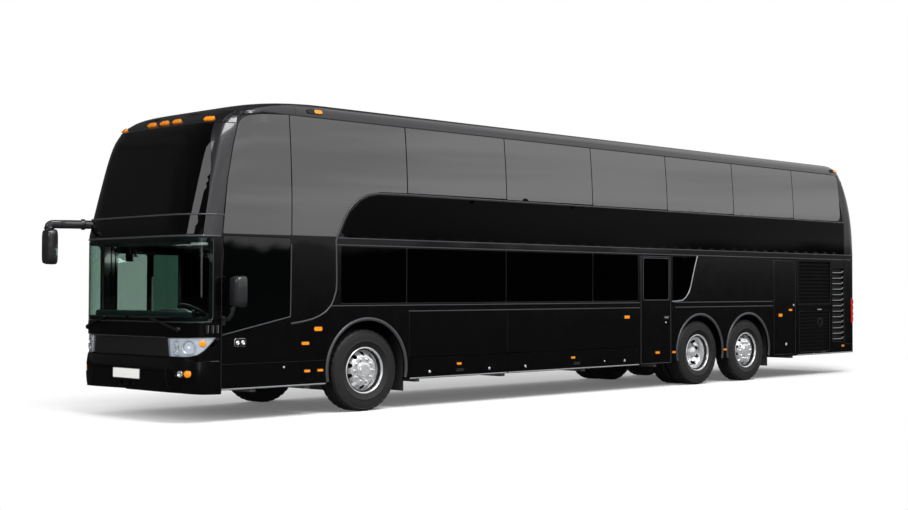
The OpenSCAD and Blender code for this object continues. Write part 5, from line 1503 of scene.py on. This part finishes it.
cushions = mesh_object("seat_cushions", points, faces, fabric, sharp=60)
place(joined("seat_frames", legs), "body", "interior_plastic")
place(cushions, "body", "seat_fabric", "seats")

# ---------------------------------------------------------------- rear
# A tail skin with the engine door and the rear window cut out, tall lamps on the corners, and its trims.
tail_rim = HALF - REAR_EDGE + REAR_EDGE * math.pi / 2 + 0.235
window = rounded([(-0.900, 2.900), (0.900, 2.900), (0.860, 3.500), (-0.860, 3.500)], 0.10)
door = rect(-0.900, 0.560, 0.900, 1.900, 0.012)
lamps = [rect(a, 0.950, a + 0.280, 1.420, 0.03) for a in (HALF - 0.180, -HALF - 0.100)]
skin = [(-tail_rim, SILL), (tail_rim, SILL), (tail_rim, 3.7485), (-tail_rim, 3.7485)]
pieces = [shell("tail", on_rear, skin, black_paint, (0.0, 0.045), [window, door] + lamps, step=0.07,
    edge=0.003)]
# the rear window's opaque near-black is partly tint and partly painted shade
pieces.append(shell("rear_glass", on_rear, window, lower_glass_tint_and_shade, (0.004, 0.012), step=0.08, edge=0))
pieces.append(strip("rear_glass_edge", on_rear, window, 0.022, 0.005, rubber, closed=True))
for z, width, height, finish in ((BELT_TRIMS[0], 0.018, 0.008, satin_trim),
        (BELT_TRIMS[1], 0.018, 0.008, satin_trim), (0.548, 0.008, 0.002, rubber),
        (SILL_TRIM, 0.022, 0.008, bright_trim)):
    pieces.append(strip("tail_trim", on_rear, [(-tail_rim, z), (tail_rim, z)], width, height, finish))
for m in (1, -1):
    for k in range(9):
        z = 2.36 + 0.048 * k
        pieces.append(strip("vent_slat", on_rear, [(m * 0.98, z), (m * 1.20, z)], 0.020, 0.006,
            dark_plastic))
pieces += [shell("rear_plate", on_rear, rect(-0.26, 1.965, 0.26, 2.078, 0.008), white_plate,
    (-0.008, -0.002), step=0.1), shell("rear_tray", on_rear, rect(-0.28, 1.945, 0.28, 2.098, 0.01),
    dark_plastic, (-0.003, 0.004), step=0.1)]
pieces += [shell("plate_lamp", on_rear, rect(x - 0.03, 2.100, x + 0.03, 2.118, 0.006), chrome,
    (-0.012, 0.002), step=0.1) for x in (-0.15, 0.15)]
pieces += [shell("reflector", on_rear, rect(m * 0.98 - 0.07, 0.44, m * 0.98 + 0.07, 0.50, 0.012), red_lens,
    (-0.006, 0.002), step=0.1) for m in (1, -1)]
for s, z in ((0, 3.62), (0.14, 3.62), (-0.14, 3.62), (0.92, 3.60), (-0.92, 3.60)):
    pieces += oval(on_rear, s, z, 0.10, 0.032, red_lens)
place(joined("tail_skin", pieces), "body", "body_paint", "rear_shell")

pieces = []
for lamp_rim, m in zip(lamps, (1, -1)):
    pieces.append(shell("tail_lens", on_rear, lamp_rim, red_lens, (-0.004, 0.020), step=0.05, edge=0.006))
    middle = m * 1.255
    for z, r, lens in ((1.350, 0.042, red_lens), (1.245, 0.042, red_lens), (1.135, 0.042, amber_lens),
            (1.030, 0.042, white_plate)):
        pieces.append(stud("tail_round", on_rear, middle, z, [(r * 1.15, -0.004), (r * 1.15, 0.004),
            (r, 0.009), (r * 0.95, 0.005), (0.001, 0.010)], lens, -0.003))
        pieces.append(stud("tail_ring", on_rear, middle, z, [(r * 1.28, -0.002), (r * 1.28, 0.004),
            (r * 1.16, 0.006), (r * 1.14, -0.002)], chrome, -0.003))
place(joined("tail_lamp_lenses", pieces), "body", "lamp_red", "tail_lamps")

leaf_rim = rect(-0.900 + INSET, 0.560 + INSET, 0.900 - INSET, 1.900 - INSET, 0.012)
louvres = [rect(-0.72, 1.10 + 0.085 * k, 0.72, 1.145 + 0.085 * k, 0.02) for k in range(8)]
# the dark sheet behind the engine door's louvres is painted shade
pieces = [shell("engine_leaf", on_rear, leaf_rim, black_paint, (0.0, 0.040), louvres, step=0.15,
    edge=0.004), shell("louvre_painted_shade_back", on_rear, rect(-0.76, 1.06, 0.76, 1.78, 0.02), rubber, (0.024, 0.034),
    step=0.3, edge=0)]
for k in range(8):
    z = 1.10 + 0.085 * k
    line = [on_skin(on_rear, s, z + 0.030, 0.012) for s in np.linspace(-0.72, 0.72, 9)]
    pieces.append(swept("louvre", [(p, n + np.array([0, 0, -0.8])) for p, n in line],
        bar(0.003, -0.026, 0.022), dark_plastic))
pieces.append(strip("pressed_line", on_rear, rect(-0.80, 0.64, 0.80, 0.98, 0.05), 0.014, 0.003, satin_trim,
    closed=True))
pieces.append(shell("engine_pull", on_rear, rect(-0.10, 0.69, 0.10, 0.73, 0.012), chrome, (-0.010, -0.002),
    step=0.1))
pieces += lock(on_rear, 0.62, 0.71) + lock(on_rear, -0.62, 0.71)
place(joined("engine_door_skin", pieces), "engine_door", "body_paint", "engine_door")

# ---------------------------------------------------------------- kept pieces
# The frame, floors, axles and engine keep their own shape and take these finishes in their slots.
arch_liner = surface("wheel_arch_liner", "#0a0a0b", 0.7, bump=0.0008, bump_scale=200, grain=30, dust=0.25)
engine_paint = surface("engine_enamel", "#2b2d30", 0.45, metal=0.3, bump=0.002, bump_scale=40, grain=12,
    dust=0.15)
kept = {
    frame_steel: ["front_frame", "rear_frame", "towing_eyes", "front_axle", "drive_axle", "tag_axle",
                  "entry_door_arm"],
    cast_iron: ["left_knuckle", "right_knuckle"],
    arch_liner: ["wheel_housings", "luggage_box"],
    floor_vinyl: ["lower_floor", "upper_floor", "stairs"],
    engine_paint: ["engine_block"],
}
for material, names in kept.items():
    for name in names:
        for place_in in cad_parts[name].material_slots:
            place_in.material = material
